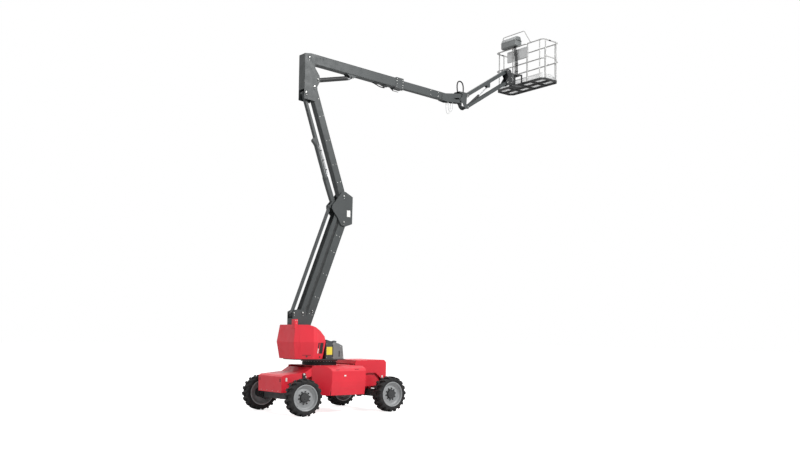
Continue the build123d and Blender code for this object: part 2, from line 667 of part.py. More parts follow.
# counterweight: the solid tail, with a lug on its near side and a pad against the post plates
with BuildPart() as counterweight:
    add(turret_body(0))
    block((HOOD_REAR - SEAT_GAP, 0), (-900, 900), (HOOD_BOTTOM - 10, TAIL_TOP + 10), Mode.SUBTRACT)
    block((-1300, -900), (-900, 900), (HOOD_BOTTOM - 10, HOOD_BOTTOM), Mode.SUBTRACT)
    block((HOOD_REAR - 90, HOOD_REAR - 2), (-360, -230), (TAIL_TOP - 90, TAIL_TOP + 125))
    block((HOOD_REAR - 2, POST_REAR - SEAT_GAP), (-POST_INNER - 15, POST_INNER + 15), (1450, 1650))

# inner walls of the power bays, with the hoods' hinge rods along their tops
HINGE_Y, HINGE_Z = HOOD_SLOT + 8, TAIL_TOP - 16
HINGE_X = (HOOD_REAR + 20, -800)
with BuildPart() as hood_frame:
    for side in (-1, 1):
        low, high = sorted((side * (HOOD_SLOT - 8), side * (HOOD_SLOT - 2)))
        slab([(HOOD_REAR + 8, pan_top + SEAT_GAP), (HOOD_REAR + 8, 2000), (-800, 1990), (-640, 1940),
              (-480, 1850), (-350, 1700), (-350, pan_top + SEAT_GAP)], low, high)
        for x in (HINGE_X[0] + 5, HINGE_X[1] - 30):
            lug = sorted((side * (HOOD_SLOT - 8), side * (HINGE_Y + 6)))
            block((x, x + 20), lug, (HINGE_Z - 60, HINGE_Z + 6))
        with BuildSketch(Plane.YZ.offset(HINGE_X[0])):
            with Locations((side * HINGE_Y, HINGE_Z)):
                Circle(6)
        extrude(amount=HINGE_X[1] - HINGE_X[0])


def hood(side):
    """Gull-wing cover: thin shell open at the tail, below and towards the slot."""
    half = sorted((side * HOOD_SLOT, side * 800))
    with BuildPart() as shell:
        add(turret_body(0))
        slab(top_outline(0), -800, 800, Mode.INTERSECT)
        block((HOOD_REAR, 0), half, (HOOD_BOTTOM, TAIL_TOP + 10), Mode.INTERSECT)
        with BuildPart(mode=Mode.PRIVATE) as hollow:
            add(turret_body(COVER_WALL))
            slab(top_outline(COVER_WALL), -800, 800, Mode.INTERSECT)
        add(hollow.part, mode=Mode.SUBTRACT)
        for x in (HINGE_X[0] + 40, HINGE_X[1] - 95):
            with BuildSketch(Plane.YZ.offset(x)):
                with Locations((side * HINGE_Y, HINGE_Z)):
                    Circle(11)
            extrude(amount=50)
        with BuildSketch(Plane.YZ.offset(HINGE_X[0] - 10)):
            with Locations((side * HINGE_Y, HINGE_Z)):
                Circle(6 + PIN_GAP)
        extrude(amount=HINGE_X[1] - HINGE_X[0] + 20, mode=Mode.SUBTRACT)
        for x in (HINGE_X[0] + 5, HINGE_X[1] - 30):
            low, high = sorted((side * (HOOD_SLOT - 12), side * (HINGE_Y + 14)))
            block((x - 8, x + 28), (low, high), (HINGE_Z - 80, HINGE_Z + 20), Mode.SUBTRACT)
    return shell


for side_name, side in (("near", -1), ("far", 1)):
    save(hood(side), f"hood_{side_name}")

# engine on the far side and battery pack on the near side, each a plain block
with BuildPart() as power_unit:
    for y in ((-400, -HOOD_SLOT - 20), (HOOD_SLOT + 20, 400)):
        block((-940, -440), y, (pan_top + SEAT_GAP, 1700))

# valve box and fluid tank ahead of the hoods
with BuildPart() as valve_box:
    slab([(-305, pan_top + SEAT_GAP), (-305, 1703), (-110, 1652), (-110, pan_top + SEAT_GAP)], -500, -235)
with BuildPart() as fluid_tank:
    slab([(-100, pan_top + SEAT_GAP), (-100, 1650), (70, 1607), (170, 1560), (205, 1262),
          (205, pan_top + SEAT_GAP)], -500, -235)
    with BuildSketch(Plane.XY.offset(1600)):
        with Locations((-12, -400)):
            Circle(52)
    extrude(amount=70)

# --------------------------------------------------------------------- risers

# lower arm, open on the front of its foot for the lift cylinder, with a pin boss on each side
arm_half, arm_side = (size / 2 for size in LOWER_ARM_SECTION)
arm_inside = arm_side - ARM_WALL
with BuildPart() as lower_arm:
    box_arm(RISER_FOOT, LOWER_TOP, LOWER_ARM_SECTION, arm_half + 4, arm_half + 4)
    opening = RISER_CYLINDER_SEAT + 90
    outline_along(RISER_FOOT, LOWER_TOP, [(-arm_half - 20, -arm_half - 20), (opening, -arm_half - 20),
                  (opening, -arm_half / 2), (-arm_half - 20, -arm_half / 2)],
                  -arm_inside + 6, arm_inside - 6, Mode.SUBTRACT)
    for low, high in ((-arm_side - 14, -arm_side + 1), (arm_side - 1, arm_side + 14)):
        disc_along(RISER_FOOT, LOWER_TOP, RISER_CYLINDER_SEAT, 0, 26, low, high)

riser_barrel = cylinder_barrel(RISER_CYLINDER_FOOT, RISER_CYLINDER_HEAD, 50, 29, 600, 40, 20, 50)
riser_rod = cylinder_rod(RISER_CYLINDER_FOOT, RISER_CYLINDER_HEAD, 29, 590, 38, 44, 20, arm_inside - 8)

# rear link: one flat bar
with BuildPart() as rear_link:
    depth, width = REAR_LINK_SECTION
    pinned_bar(REAR_FOOT, REAR_TOP, depth, -width / 2, width / 2, bore=LINK_PIN_RADIUS + PIN_GAP, swell=14)

# mid link: a plate each side, between the post plates below and the upright's cheeks above
with BuildPart() as mid_link:
    depth, wall = MID_LINK_SECTION
    for y0 in (MID_LINK_INNER, -MID_LINK_INNER - wall):
        pinned_bar(MID_FOOT, MID_TOP, depth, y0, y0 + wall)

# mid upright: cheeks joining the lower risers to the upper ones
mid_cheek = [
    (660, 4530), (670, 5200), (450, 5310), (340, 5290), (160, 5050), (75, 4965), (55, 4880),
    (95, 4815), (240, 4640), (330, 4480), (460, 4455),
]
cheek_outer = PLATE_INNER + PLATE_WALL
with BuildPart() as mid_upright:
    mirrored_slabs(mid_cheek, PLATE_INNER, PLATE_WALL)
    slab([(632, 4600), (650, 4600), (658, 5130), (640, 5130)], -PLATE_INNER, PLATE_INNER)
    for point in (LOWER_TOP, KNEE):
        cross_pin(point, PIN_RADIUS, -cheek_outer, cheek_outer)
    # inner plates hold the rear and upper links; the mid link swings between them and the cheeks
    inner_plate = [(-389, 330), (-389, 385), (-288, 500), (-200, 505), (-60, 400), (-60, 330),
                   (-110, 312), (-330, 312)]
    mirrored_slabs([moved(LOWER_TOP, offset) for offset in inner_plate], INNER_CHEEK, INNER_CHEEK_WALL)
    for point, radius in ((REAR_TOP, LINK_PIN_RADIUS), (LINK_FOOT, PIN_RADIUS)):
        cross_pin(point, radius, -INNER_CHEEK - 2, INNER_CHEEK + 2)
    for side in (-1, 1):
        low, high = sorted((side * (INNER_CHEEK + 1), side * (PLATE_INNER + 1)))
        cross_pin(MID_TOP, PIN_RADIUS, low, high)
        cross_pin(moved(LOWER_TOP, (-160, 462)), 26, low, high)

# upper arm with a round lug on its front face
with BuildPart() as upper_arm:
    box_arm(KNEE, UPPER_TOP, UPPER_ARM_SECTION, 98, 98)
    disc_along(KNEE, UPPER_TOP, 235, -UPPER_ARM_SECTION[0] / 2, 46, -20, 20)
    disc_along(KNEE, UPPER_TOP, 235, 0, UPPER_ARM_SECTION[0] / 2 - ARM_WALL, -20, 20, Mode.SUBTRACT)

# upper link: a bar, a thick tube with a collar, and a lighter bar on to the tower
with BuildPart() as upper_link:
    length = distance(LINK_FOOT, LINK_TOP)
    bar = UPPER_LINK_BAR / 2
    foot = UPPER_LINK_FOOT / 2
    outline_along(LINK_FOOT, LINK_TOP, [(0, -foot + 4), (120, -foot + 8), (640, -foot + 24), (640, foot + 24),
                  (120, foot + 8), (0, foot - 4)], -UPPER_LINK_HALF, UPPER_LINK_HALF)
    outline_along(LINK_FOOT, LINK_TOP, [(1430, -bar - 6), (length, -bar), (length, bar), (1640, bar + 6),
                  (1600, bar + 76), (1560, bar + 84), (1520, bar + 62), (1430, bar + 34)],
                  -UPPER_LINK_HALF, UPPER_LINK_HALF)
    for along, radius in ((0, 50), (length, 42)):
        disc_along(LINK_FOOT, LINK_TOP, along, 0, radius, -UPPER_LINK_HALF, UPPER_LINK_HALF)
    tube = plane_along(LINK_FOOT, LINK_TOP)
    for along, radius, run in ((600, UPPER_LINK_TUBE + 8, 60), (620, UPPER_LINK_TUBE, 880)):
        centre = tube.origin + tube.x_dir * along + tube.y_dir * 26
        with BuildSketch(Plane(origin=centre, x_dir=(0, 1, 0), z_dir=tube.x_dir)):
            Circle(radius)
        extrude(amount=run)
    for along in (0, length):
        disc_along(LINK_FOOT, LINK_TOP, along, 0, PIN_RADIUS + PIN_GAP, -70, 70, Mode.SUBTRACT)

# tower: side plates and a rear web
tower_cheek = [
    (-800, 7420), (-800, 8520), (-600, 8550), (-520, 8450), (-500, 8210), (-379, 8050), (-352, 7920),
    (-435, 7765), (-430, 7700), (-420, 7550), (-480, 7400),
]
with BuildPart() as tower:
    mirrored_slabs(tower_cheek, PLATE_INNER, PLATE_WALL)
    slab([(-800, 7660), (-800, 8520), (-784, 8520), (-784, 7660)], -PLATE_INNER, PLATE_INNER)
    for point, radius in ((UPPER_TOP, PIN_RADIUS), (LINK_TOP, PIN_RADIUS), (BOOM_PIN, PIN_RADIUS),
                          (BOOM_CYLINDER_FOOT, 24)):
        cross_pin(point, radius, -cheek_outer, cheek_outer)

# ----------------------------------------------------------- telescopic boom

main_half = MAIN_SECTION[0] / 2
main_side = MAIN_SECTION[1] / 2
fly_half = FLY_SECTION[0] / 2
fly_side = FLY_SECTION[1] / 2
head_along, head_across = seen_along(BOOM_PIN, BOOM_FAR, BOOM_CYLINDER_HEAD)
collar_half = main_half + COLLAR_PROUD

# main boom: tapered root, box, and a thicker collar at the mouth
with BuildPart() as main_boom:
    outline_along(BOOM_PIN, BOOM_FAR, [(0, 95), (130, main_half), (MAIN_END, main_half),
                  (MAIN_END, -main_half), (130, -main_half), (0, -95)], -main_side, main_side)
    disc_along(BOOM_PIN, BOOM_FAR, 0, 0, 95, -main_side, main_side)
    outline_along(BOOM_PIN, BOOM_FAR, [(-120, main_half - BOOM_WALL), (MAIN_END + 10, main_half - BOOM_WALL),
                  (MAIN_END + 10, -main_half + BOOM_WALL), (-120, -main_half + BOOM_WALL)],
                  -main_side + BOOM_WALL, main_side - BOOM_WALL, Mode.SUBTRACT)
    outline_along(BOOM_PIN, BOOM_FAR, [(MAIN_END - 1, collar_half), (MAIN_END + COLLAR_LENGTH, collar_half),
                  (MAIN_END + COLLAR_LENGTH, -collar_half), (MAIN_END - 1, -collar_half)],
                  -main_side - 10, main_side + 10)
    mouth_half, mouth_side = fly_half + 2 * PIN_GAP, fly_side + 2 * PIN_GAP
    outline_along(BOOM_PIN, BOOM_FAR, [(MAIN_END - 10, mouth_half), (MAIN_END + COLLAR_LENGTH + 10, mouth_half),
                  (MAIN_END + COLLAR_LENGTH + 10, -mouth_half), (MAIN_END - 10, -mouth_half)],
                  -mouth_side, mouth_side, Mode.SUBTRACT)
    for y0 in (62, -78):
        outline_along(BOOM_PIN, BOOM_FAR, [(1150, -main_half + 4), (1470, -main_half + 4),
                      (head_along + 45, head_across - 20), (head_along + 20, head_across - 34),
                      (head_along - 20, head_across - 34), (head_along - 45, head_across - 20)], y0, y0 + 16)
    for low, high in ((-92, -77), (77, 92)):
        disc_along(BOOM_PIN, BOOM_FAR, head_along, head_across, 22, low, high)
    disc_along(BOOM_PIN, BOOM_FAR, 0, 0, PIN_RADIUS + PIN_GAP, -main_side - 10, main_side + 10, Mode.SUBTRACT)

boom_barrel = cylinder_barrel(BOOM_CYLINDER_FOOT, BOOM_CYLINDER_HEAD, 55, 31, 960, 44, 24, 60)
boom_rod = cylinder_rod(BOOM_CYLINDER_FOOT, BOOM_CYLINDER_HEAD, 31, 955, 32, 40, 20, 60)

# fly boom with the nose bracket that carries the jib base
nose = ahead(BOOM_PIN, NOSE_PIN[0], -BOOM_DROOP)
NOSE = ahead(nose, NOSE_PIN[1], 90 - BOOM_DROOP)
nose_bracket = [
    (3640, 8378), (3800, 8385), (4405, 8490), (4410, 8400), (4378, 8300), (4365, 8235), (4305, 8212),
    (3815, 8164), (3640, 8185),
]
nose_window = [(4040, 8302), (4262, 8345), (4272, 8300), (4150, 8278)]
with BuildPart() as fly_boom:
    outline_along(BOOM_PIN, BOOM_FAR, [(FLY_START, fly_half), (FLY_END, fly_half), (FLY_END, -fly_half),
                  (FLY_START, -fly_half)], -fly_side, fly_side)
    hollow_half = fly_half - BOOM_WALL
    outline_along(BOOM_PIN, BOOM_FAR, [(FLY_START - 10, hollow_half), (FLY_END - 12, hollow_half),
                  (FLY_END - 12, -hollow_half), (FLY_START - 10, -hollow_half)],
                  -fly_side + BOOM_WALL, fly_side - BOOM_WALL, Mode.SUBTRACT)
    mirrored_slabs(nose_bracket, fly_side - 1, 15)
    mirrored_slabs(nose_window, fly_side - 10, 40, Mode.SUBTRACT)
    slab([(3750, 8384), (4403, 8490), (4403, 8476), (3750, 8368)], -fly_side, fly_side)
    cross_pin(NOSE, 24, -fly_side - 44, fly_side + 44)

# ------------------------------------------------------------------------ jib

jib_plate_inner, jib_plate_wall = fly_side + 24, 14.0
jib_plate_outer = jib_plate_inner + jib_plate_wall
jib_depth, jib_width = JIB_SECTION
jib_base_outline = [
    (4235, 8500), (4240, 8524), (4585, 8530), (4628, 8480), (4605, 8425), (4530, 8395), (4518, 8205),
    (4600, 8192), (4624, 8141), (4592, 8090), (4500, 8080), (4425, 8130), (4378, 8215), (4292, 8262),
    (4285, 8330), (4350, 8380), (4362, 8470),
]
with BuildPart() as jib_base:
    mirrored_slabs(jib_base_outline, jib_plate_inner, jib_plate_wall)
    slab([(4238, 8514), (4240, 8524), (4500, 8527), (4500, 8515)], -jib_plate_inner, jib_plate_inner)
    cross_pin((4470, 8300), 26, -jib_plate_inner, jib_plate_inner)
    cross_pin(JIB_PIN, 22, -jib_plate_outer, jib_plate_outer)
    cross_pin(JIB_LINK_PIN, 22, -jib_plate_outer, jib_plate_outer)
    cross_pin(NOSE, 24 + PIN_GAP, -jib_plate_outer - 5, jib_plate_outer + 5, Mode.SUBTRACT)

# upper jib arm, with a bracket below it for the jib cylinder's rod
rod_along, rod_across = seen_along(JIB_PIN, JIB_END, JIB_CYLINDER_HEAD)
with BuildPart() as jib_arm:
    outline_along(JIB_PIN, JIB_END, [(0, jib_depth / 2), (JIB_LENGTH, jib_depth / 2),
                  (JIB_LENGTH, -jib_depth / 2), (0, -jib_depth / 2)], -jib_width / 2, jib_width / 2)
    outline_along(JIB_PIN, JIB_END, [(60, jib_depth / 2 - 6), (JIB_LENGTH - 60, jib_depth / 2 - 6),
                  (JIB_LENGTH - 60, 6 - jib_depth / 2), (60, 6 - jib_depth / 2)],
                  6 - jib_width / 2, jib_width / 2 - 6, Mode.SUBTRACT)
    for along in (0, JIB_LENGTH):
        disc_along(JIB_PIN, JIB_END, along, 0, 50, 6 - jib_plate_inner, jib_plate_inner - 6)
        disc_along(JIB_PIN, JIB_END, along, 0, 22 + PIN_GAP, -jib_plate_inner, jib_plate_inner, Mode.SUBTRACT)
    # open below between the side walls, for the cylinder's head
    opening = rod_along + 110
    outline_along(JIB_PIN, JIB_END, [(300, -jib_depth), (opening, -jib_depth), (opening, 0), (300, 0)],
                  6 - jib_width / 2, jib_width / 2 - 6, Mode.SUBTRACT)
    for side in (-1, 1):
        low, high = sorted((side * (jib_width / 2 - 10), side * jib_width / 2))
        outline_along(JIB_PIN, JIB_END, [(rod_along - 110, -jib_depth / 2 + 20), (opening, -jib_depth / 2 + 20),
                      (rod_along + 34, rod_across - 20), (rod_along + 12, rod_across - 34),
                      (rod_along - 12, rod_across - 34), (rod_along - 34, rod_across - 20)], low, high)
        low, high = sorted((side * (jib_width / 2 - 1), side * (jib_width / 2 + 10)))
        disc_along(JIB_PIN, JIB_END, rod_along, rod_across, 20, low, high)

# lower jib link: a bar each side
with BuildPart() as jib_link:
    for y0 in (jib_plate_inner - 24, 12 - jib_plate_inner):
        pinned_bar(JIB_LINK_PIN, JIB_LINK_END, JIB_LINK_SECTION[0], y0, y0 + JIB_LINK_SECTION[1],
                   bore=22 + PIN_GAP)

jib_barrel = cylinder_barrel(JIB_LINK_PIN, JIB_CYLINDER_HEAD, 34, 19, 672, 40, 22, 44)
jib_rod = cylinder_rod(JIB_LINK_PIN, JIB_CYLINDER_HEAD, 19, 648, 30, 26, 16, jib_width / 2 - 12)

# ------------------------------------------------------------------- platform

rotator_z = (9090.0, 9450.0)
mount_outline = [
    (6205, 9076), (6150, 9072), (6095, 9100), (6085, 9160), (6180, 9300), (6085, 9460), (6100, 9515),
    (6150, 9540), (6260, 9528), (6330, 9440), (6330, 9110), (6260, 9070),
]
with BuildPart() as platform_mount:
    mirrored_slabs(mount_outline, jib_plate_inner, jib_plate_wall)
    block((6232, 6250), (-jib_plate_inner, jib_plate_inner), (9090, 9520))
    for point in (JIB_END, JIB_LINK_END):
        cross_pin(point, 22, -jib_plate_outer, jib_plate_outer)
    block((6250, ROTATOR_X), (-60, 60), (9150, 9390))
    with BuildSketch(Plane.XY.offset(rotator_z[0] + 30)):
        with Locations((ROTATOR_X, 0)):
            Circle(82)
    extrude(amount=rotator_z[1] - rotator_z[0] - 60)
    with BuildSketch(Plane.XY.offset(rotator_z[0])):
        with Locations((ROTATOR_X, 0)):
            Circle(34)
    extrude(amount=rotator_z[1] - rotator_z[0])

# platform frame: clamps on the rotator, then tubes under the floor
x_low, x_high = PLATFORM_X
y_low, y_high = PLATFORM_Y
frame_low, frame_high = FLOOR_Z - 60, FLOOR_Z - 6
middle_y = (y_low + y_high) / 2
rail_inset = RAIL_RADIUS
with BuildPart() as platform_frame:
    for z in (rotator_z[0] - 8, rotator_z[1] - 22):
        with BuildSketch(Plane.XY.offset(z)):
            with BuildLine():
                Polyline((ROTATOR_X, -70), (x_low - 4, -150), (x_low - 4, 150), (ROTATOR_X, 70), close=True)
            make_face()
            with Locations((ROTATOR_X, 0)):
                Circle(70)
                Circle(34 + PIN_GAP, mode=Mode.SUBTRACT)
        extrude(amount=30)
    for y in (-150, 120):
        block((x_low - 34, x_low - SEAT_GAP), (y, y + 30), (rotator_z[0] - 8, rotator_z[1] + 8))
        block((x_low - 34, x_low + 10), (y, y + 30), (frame_low, frame_high - 2))
    for x in (x_low, x_high - 50):
        block((x, x + 50), (y_low + RAIL_CORNER, y_high - RAIL_CORNER), (frame_low, frame_high))
    for y in (y_low, y_high - 50):
        block((x_low + RAIL_CORNER, x_high - RAIL_CORNER), (y, y + 50), (frame_low, frame_high))
    for x, y, turn in ((x_low, y_low, 0), (x_high, y_low, 90), (x_high, y_high, 180), (x_low, y_high, 270)):
        with BuildSketch(Plane.XY.offset(frame_low)):
            with Locations(Location((x, y, 0), (0, 0, 1), turn)):
                Polygon((0, RAIL_CORNER), (RAIL_CORNER, 0), (RAIL_CORNER + 25, 12), (RAIL_CORNER, 50),
                        (70, 70), (50, RAIL_CORNER), (12, RAIL_CORNER + 25), align=None)
        extrude(amount=frame_high - frame_low)
    for y in (y_low + 480, middle_y - 25, y_high - 530):
        block((x_low + 40, x_high - 40), (y, y + 50), (frame_low, frame_high))
    block(((x_low + x_high) / 2 - 20, (x_low + x_high) / 2 + 20), (y_low + 40, y_high - 40),
          (frame_low, frame_high))

# toe boards stand on the frame just inside the posts, and the mesh floor lies between them
toe_inset = rail_inset + POST_RADIUS + 2 * SEAT_GAP
floor_inset = toe_inset + TOE_WALL + SEAT_GAP


def floor_outline(inset, mode=Mode.ADD):
    """Rounded rectangle inside the platform's outer edge."""
    with Locations(((x_low + x_high) / 2, middle_y)):
        RectangleRounded(x_high - x_low - 2 * inset, y_high - y_low - 2 * inset, RAIL_CORNER - inset, mode=mode)


with BuildPart() as toe_boards:
    with BuildSketch(Plane.XY.offset(frame_high + SEAT_GAP)) as face:
        floor_outline(toe_inset)
        floor_outline(toe_inset + TOE_WALL, Mode.SUBTRACT)
    extrude(amount=TOE_HEIGHT)
with BuildPart() as platform_floor:
    with BuildSketch(Plane.XY.offset(frame_high + SEAT_GAP)) as face:
        floor_outline(floor_inset)
    extrude(amount=FLOOR_Z - frame_high - SEAT_GAP)


def rail_path(z, inset, side_y):
    """Half of a rounded rectangle over the edge of the floor, round the end at side_y."""
    return FilletPolyline((x_low + inset, middle_y, z), (x_low + inset, side_y, z),
                          (x_high - inset, side_y, z), (x_high - inset, middle_y, z),
                          radius=RAIL_CORNER - inset)


post_low = frame_high + SEAT_GAP
rail_high = FLOOR_Z + RAIL_TOP
rail_mid = FLOOR_Z + 0.5 * RAIL_TOP
ENTRY_X = (x_low + RAIL_CORNER + 12, x_high - RAIL_CORNER - 12)
near_y = y_low + rail_inset
far_y = y_high - rail_inset
posts = [
    # x, y
    *[(x_low + rail_inset, y) for y in (y_low + END_POST_REACH, *BACK_POSTS, y_high - END_POST_REACH)],
    *[(x_high - rail_inset, y) for y in (y_low + END_POST_REACH, *FRONT_POSTS, y_high - END_POST_REACH)],
    (ENTRY_X[0], near_y), (ENTRY_X[1], near_y), ((x_low + x_high) / 2, far_y),
]
with BuildPart() as guard_rails:
    for z in (rail_high, rail_mid):
        for end_y in (near_y, far_y):
            with BuildLine() as loop:
                rail_path(z, rail_inset, end_y)
            with BuildSketch(Plane(origin=loop.line @ 0, z_dir=loop.line % 0)):
                Circle(RAIL_RADIUS)
            sweep(path=loop.line)
    low, high = ENTRY_X
    block((low, high), (near_y - 40, near_y + 40), (rail_mid - 40, rail_mid + 40), Mode.SUBTRACT)
    for x, y in posts:
        with BuildSketch(Plane.XY.offset(post_low)):
            with Locations((x, y)):
                Circle(POST_RADIUS)
        extrude(amount=rail_high - post_low)

# entry bar that slides up its two posts
with BuildPart() as entry_bar:
    with BuildSketch(Plane.YZ.offset(ENTRY_X[0])):
        with Locations((near_y, rail_mid + 75)):
            Circle(15)
    extrude(amount=ENTRY_X[1] - ENTRY_X[0])
    for x in ENTRY_X:
        with BuildSketch(Plane.XY.offset(rail_mid + 35)):
            with Locations((x, near_y)):
                Circle(28)
        extrude(amount=80)
    for x in ENTRY_X:
        with BuildSketch(Plane.XY.offset(rail_mid)):
            with Locations((x, near_y)):
                Circle(POST_RADIUS + PIN_GAP)
        extrude(amount=160, mode=Mode.SUBTRACT)

# control console on the top rail, with its hood and the panel below it
console_low = rail_high + RAIL_RADIUS + SEAT_GAP
with BuildPart() as console:
    with BuildSketch(Plane.XZ.offset(-620)):
        with BuildLine():
            Polyline((x_low - 105, console_low + 15), (x_low - 105, console_low + 190),
                     (x_low - 60, console_low + 285), (x_low + 95, console_low + 285),
                     (x_low + 145, console_low + 160), (x_low + 145, console_low + 30),
                     (x_low + 120, console_low), (x_low - 80, console_low), close=True)
        make_face()
    extrude(amount=600)
with BuildPart() as document_panel:
    panel_x = x_low + rail_inset + POST_RADIUS + SEAT_GAP
    block((panel_x, panel_x + 60), (-300, 500),
          (rail_mid + 170, rail_high - RAIL_RADIUS - 50))

# guard loop above the console, standing on the top rail
with BuildPart() as guard_loop:
    with BuildLine() as bow:
        FilletPolyline((x_low + rail_inset, 655, rail_high + RAIL_RADIUS + SEAT_GAP),
                       (x_low + rail_inset, 655, rail_high + 410),
                       (x_low + rail_inset, -200, rail_high + 410),
                       (x_low + rail_inset, -440, rail_high + RAIL_RADIUS + 7), radius=60)
    with BuildSketch(Plane(origin=bow.line @ 0, z_dir=bow.line % 0)):
        Circle(13)
    sweep(path=bow.line)

# ---------------------------------------------------------------------- hoses

hoses = [
    # label, radius, bend radius, route as (x, y, z) points
    ("hose_arch", 18, 108, [(4275, 0, 8528.2), (4212, 0, 8842), (4520, 0, 8842), (4482, 0, 8529.3)]),
    ("nose_loop_near", 7, 70, [(3872, -58, 8168.2), (3866, -62, 7905), (4036, -66, 7912), (4040, -60, 8184.8)]),
    ("nose_loop_far", 7, 70, [(3902, 58, 8171.2), (3896, 62, 7880), (4066, 66, 7887), (4070, 60, 8187.7)]),
]
for label, radius, bend, route in hoses:
    with BuildPart() as hose:
        with BuildLine() as run:
            FilletPolyline(*route, radius=bend)
        with BuildSketch(Plane(origin=run.line @ 0, z_dir=run.line % 0)):
            Circle(radius)
        sweep(path=run.line)
    save(hose, label)

# --------------------------------------------------------------------- export

named_parts = [
    (chassis_frame, "chassis_frame"),
    (slew_bearing, "slew_bearing"),
    (steer_end_cover, "steer_end_cover"),
    (fixed_end_cover, "fixed_end_cover"),
    (deck_plate, "deck_plate"),
    (steer_axle, "steer_axle"),
    (fixed_axle, "fixed_axle"),
    (tie_rod, "tie_rod"),
    (turntable, "turntable"),
    (counterweight, "counterweight"),
    (hood_frame, "hood_frame"),
    (power_unit, "power_unit"),
    (valve_box, "valve_box"),
    (fluid_tank, "fluid_tank"),
    (lower_arm, "lower_arm"),
    (riser_barrel, "riser_barrel"),
    (riser_rod, "riser_rod"),
    (rear_link, "rear_link"),
    (mid_link, "mid_link"),
    (mid_upright, "mid_upright"),
    (upper_arm, "upper_arm"),
    (upper_link, "upper_link"),
    (tower, "tower"),
    (main_boom, "main_boom"),
    (boom_barrel, "boom_barrel"),
    (boom_rod, "boom_rod"),
    (fly_boom, "fly_boom"),
    (jib_base, "jib_base"),
    (jib_arm, "jib_arm"),
    (jib_link, "jib_link"),
    (jib_barrel, "jib_barrel"),
    (jib_rod, "jib_rod"),
    (platform_mount, "platform_mount"),
    (platform_frame, "platform_frame"),
    (platform_floor, "platform_floor"),
    (guard_rails, "guard_rails"),
    (toe_boards, "toe_boards"),
    (entry_bar, "entry_bar"),
    (console, "console"),
    (document_panel, "document_panel"),
    (guard_loop, "guard_loop"),
]
for builder, label in named_parts:
    save(builder, label)
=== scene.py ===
"""Articulating boom lift: camera, light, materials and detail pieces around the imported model."""
import json
import math

import bmesh
import bpy
from mathutils import Matrix, Vector


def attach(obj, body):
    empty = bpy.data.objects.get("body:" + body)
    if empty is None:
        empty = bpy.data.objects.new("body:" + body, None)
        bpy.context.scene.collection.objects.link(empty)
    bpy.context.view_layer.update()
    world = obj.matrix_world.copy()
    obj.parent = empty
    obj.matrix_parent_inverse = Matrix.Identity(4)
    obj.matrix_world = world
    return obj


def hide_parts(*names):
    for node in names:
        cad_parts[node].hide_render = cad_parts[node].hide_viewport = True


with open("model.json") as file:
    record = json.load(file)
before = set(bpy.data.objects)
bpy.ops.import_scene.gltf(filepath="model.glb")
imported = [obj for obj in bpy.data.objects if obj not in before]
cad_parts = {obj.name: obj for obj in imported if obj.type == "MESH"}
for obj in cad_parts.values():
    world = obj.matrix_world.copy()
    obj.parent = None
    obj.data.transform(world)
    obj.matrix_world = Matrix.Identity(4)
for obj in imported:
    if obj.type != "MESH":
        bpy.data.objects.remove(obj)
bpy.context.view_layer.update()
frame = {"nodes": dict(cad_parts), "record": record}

nodes = frame["nodes"]


# ------ camera

def make_camera():
    """Camera on the near side, low down, looking slightly up at the raised booms."""
    position = Vector((-12.005, -17.573, 1.906))
    yaw, pitch, roll = (math.radians(a) for a in (39.03, 3.75, 0.71))
    forward = Vector((math.sin(yaw) * math.cos(pitch), math.cos(yaw) * math.cos(pitch), math.sin(pitch)))
    level = Vector((math.cos(yaw), -math.sin(yaw), 0))
    upright = level.cross(forward)
    right = level * math.cos(roll) + upright * math.sin(roll)
    up = upright * math.cos(roll) - level * math.sin(roll)
    data = bpy.data.cameras.new("camera")
    data.lens = 39.59
    data.sensor_width = 36
    data.shift_x = 0.00245
    data.shift_y = 0.0613
    data.clip_end = 200
    camera = bpy.data.objects.new("camera", data)
    turned = Matrix((right, up, -forward)).transposed()
    camera.matrix_world = Matrix.Translation(position) @ turned.to_4x4()
    bpy.context.collection.objects.link(camera)
    bpy.context.scene.camera = camera


make_camera()


# ------ cords

def cord_curve(name, points, radius):
    """Smooth tube on one open spline with these points as its control points."""
    data = bpy.data.curves.new(name, "CURVE")
    data.dimensions = "3D"
    data.bevel_depth = radius
    data.bevel_resolution = 5
    data.resolution_u = 16
    data.use_fill_caps = True
    spline = data.splines.new("NURBS")
    spline.points.add(len(points) - 1)
    for point, place in zip(spline.points, points):
        point.co = (*place, 1)
    spline.order_u = 3
    spline.use_endpoint_u = True
    piece = bpy.data.objects.new(name, data)
    bpy.context.collection.objects.link(piece)
    return piece


cords = [
    # name, node, body, radius, length, stiffness, slot, route
    ("hose_arch_hose", "hose_arch", "jib_base", 0.018, 0.754, "medium", "hose_black",
     [(4.275, 0, 8.5282), (4.212, 0, 8.842), (4.520, 0, 8.842), (4.482, 0, 8.5293)]),
    ("nose_loop_near_line", "nose_loop_near", "fly_boom", 0.007, 0.604, "limp", "hose_clear",
     [(3.872, -0.058, 8.1682), (3.866, -0.062, 7.905), (4.036, -0.066, 7.912), (4.040, -0.060, 8.1848)]),
    ("nose_loop_far_line", "nose_loop_far", "fly_boom", 0.007, 0.657, "limp", "hose_clear",
     [(3.902, 0.058, 8.1712), (3.896, 0.062, 7.880), (4.066, 0.066, 7.887), (4.070, 0.060, 8.1877)]),
]
cord_pieces = {}
for name, node, body, radius, length, stiffness, slot, route in cords:
    piece = cord_curve(name, route, radius)
    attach(piece, body)
    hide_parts(node)
    cord_pieces[name] = piece


# ------ materials

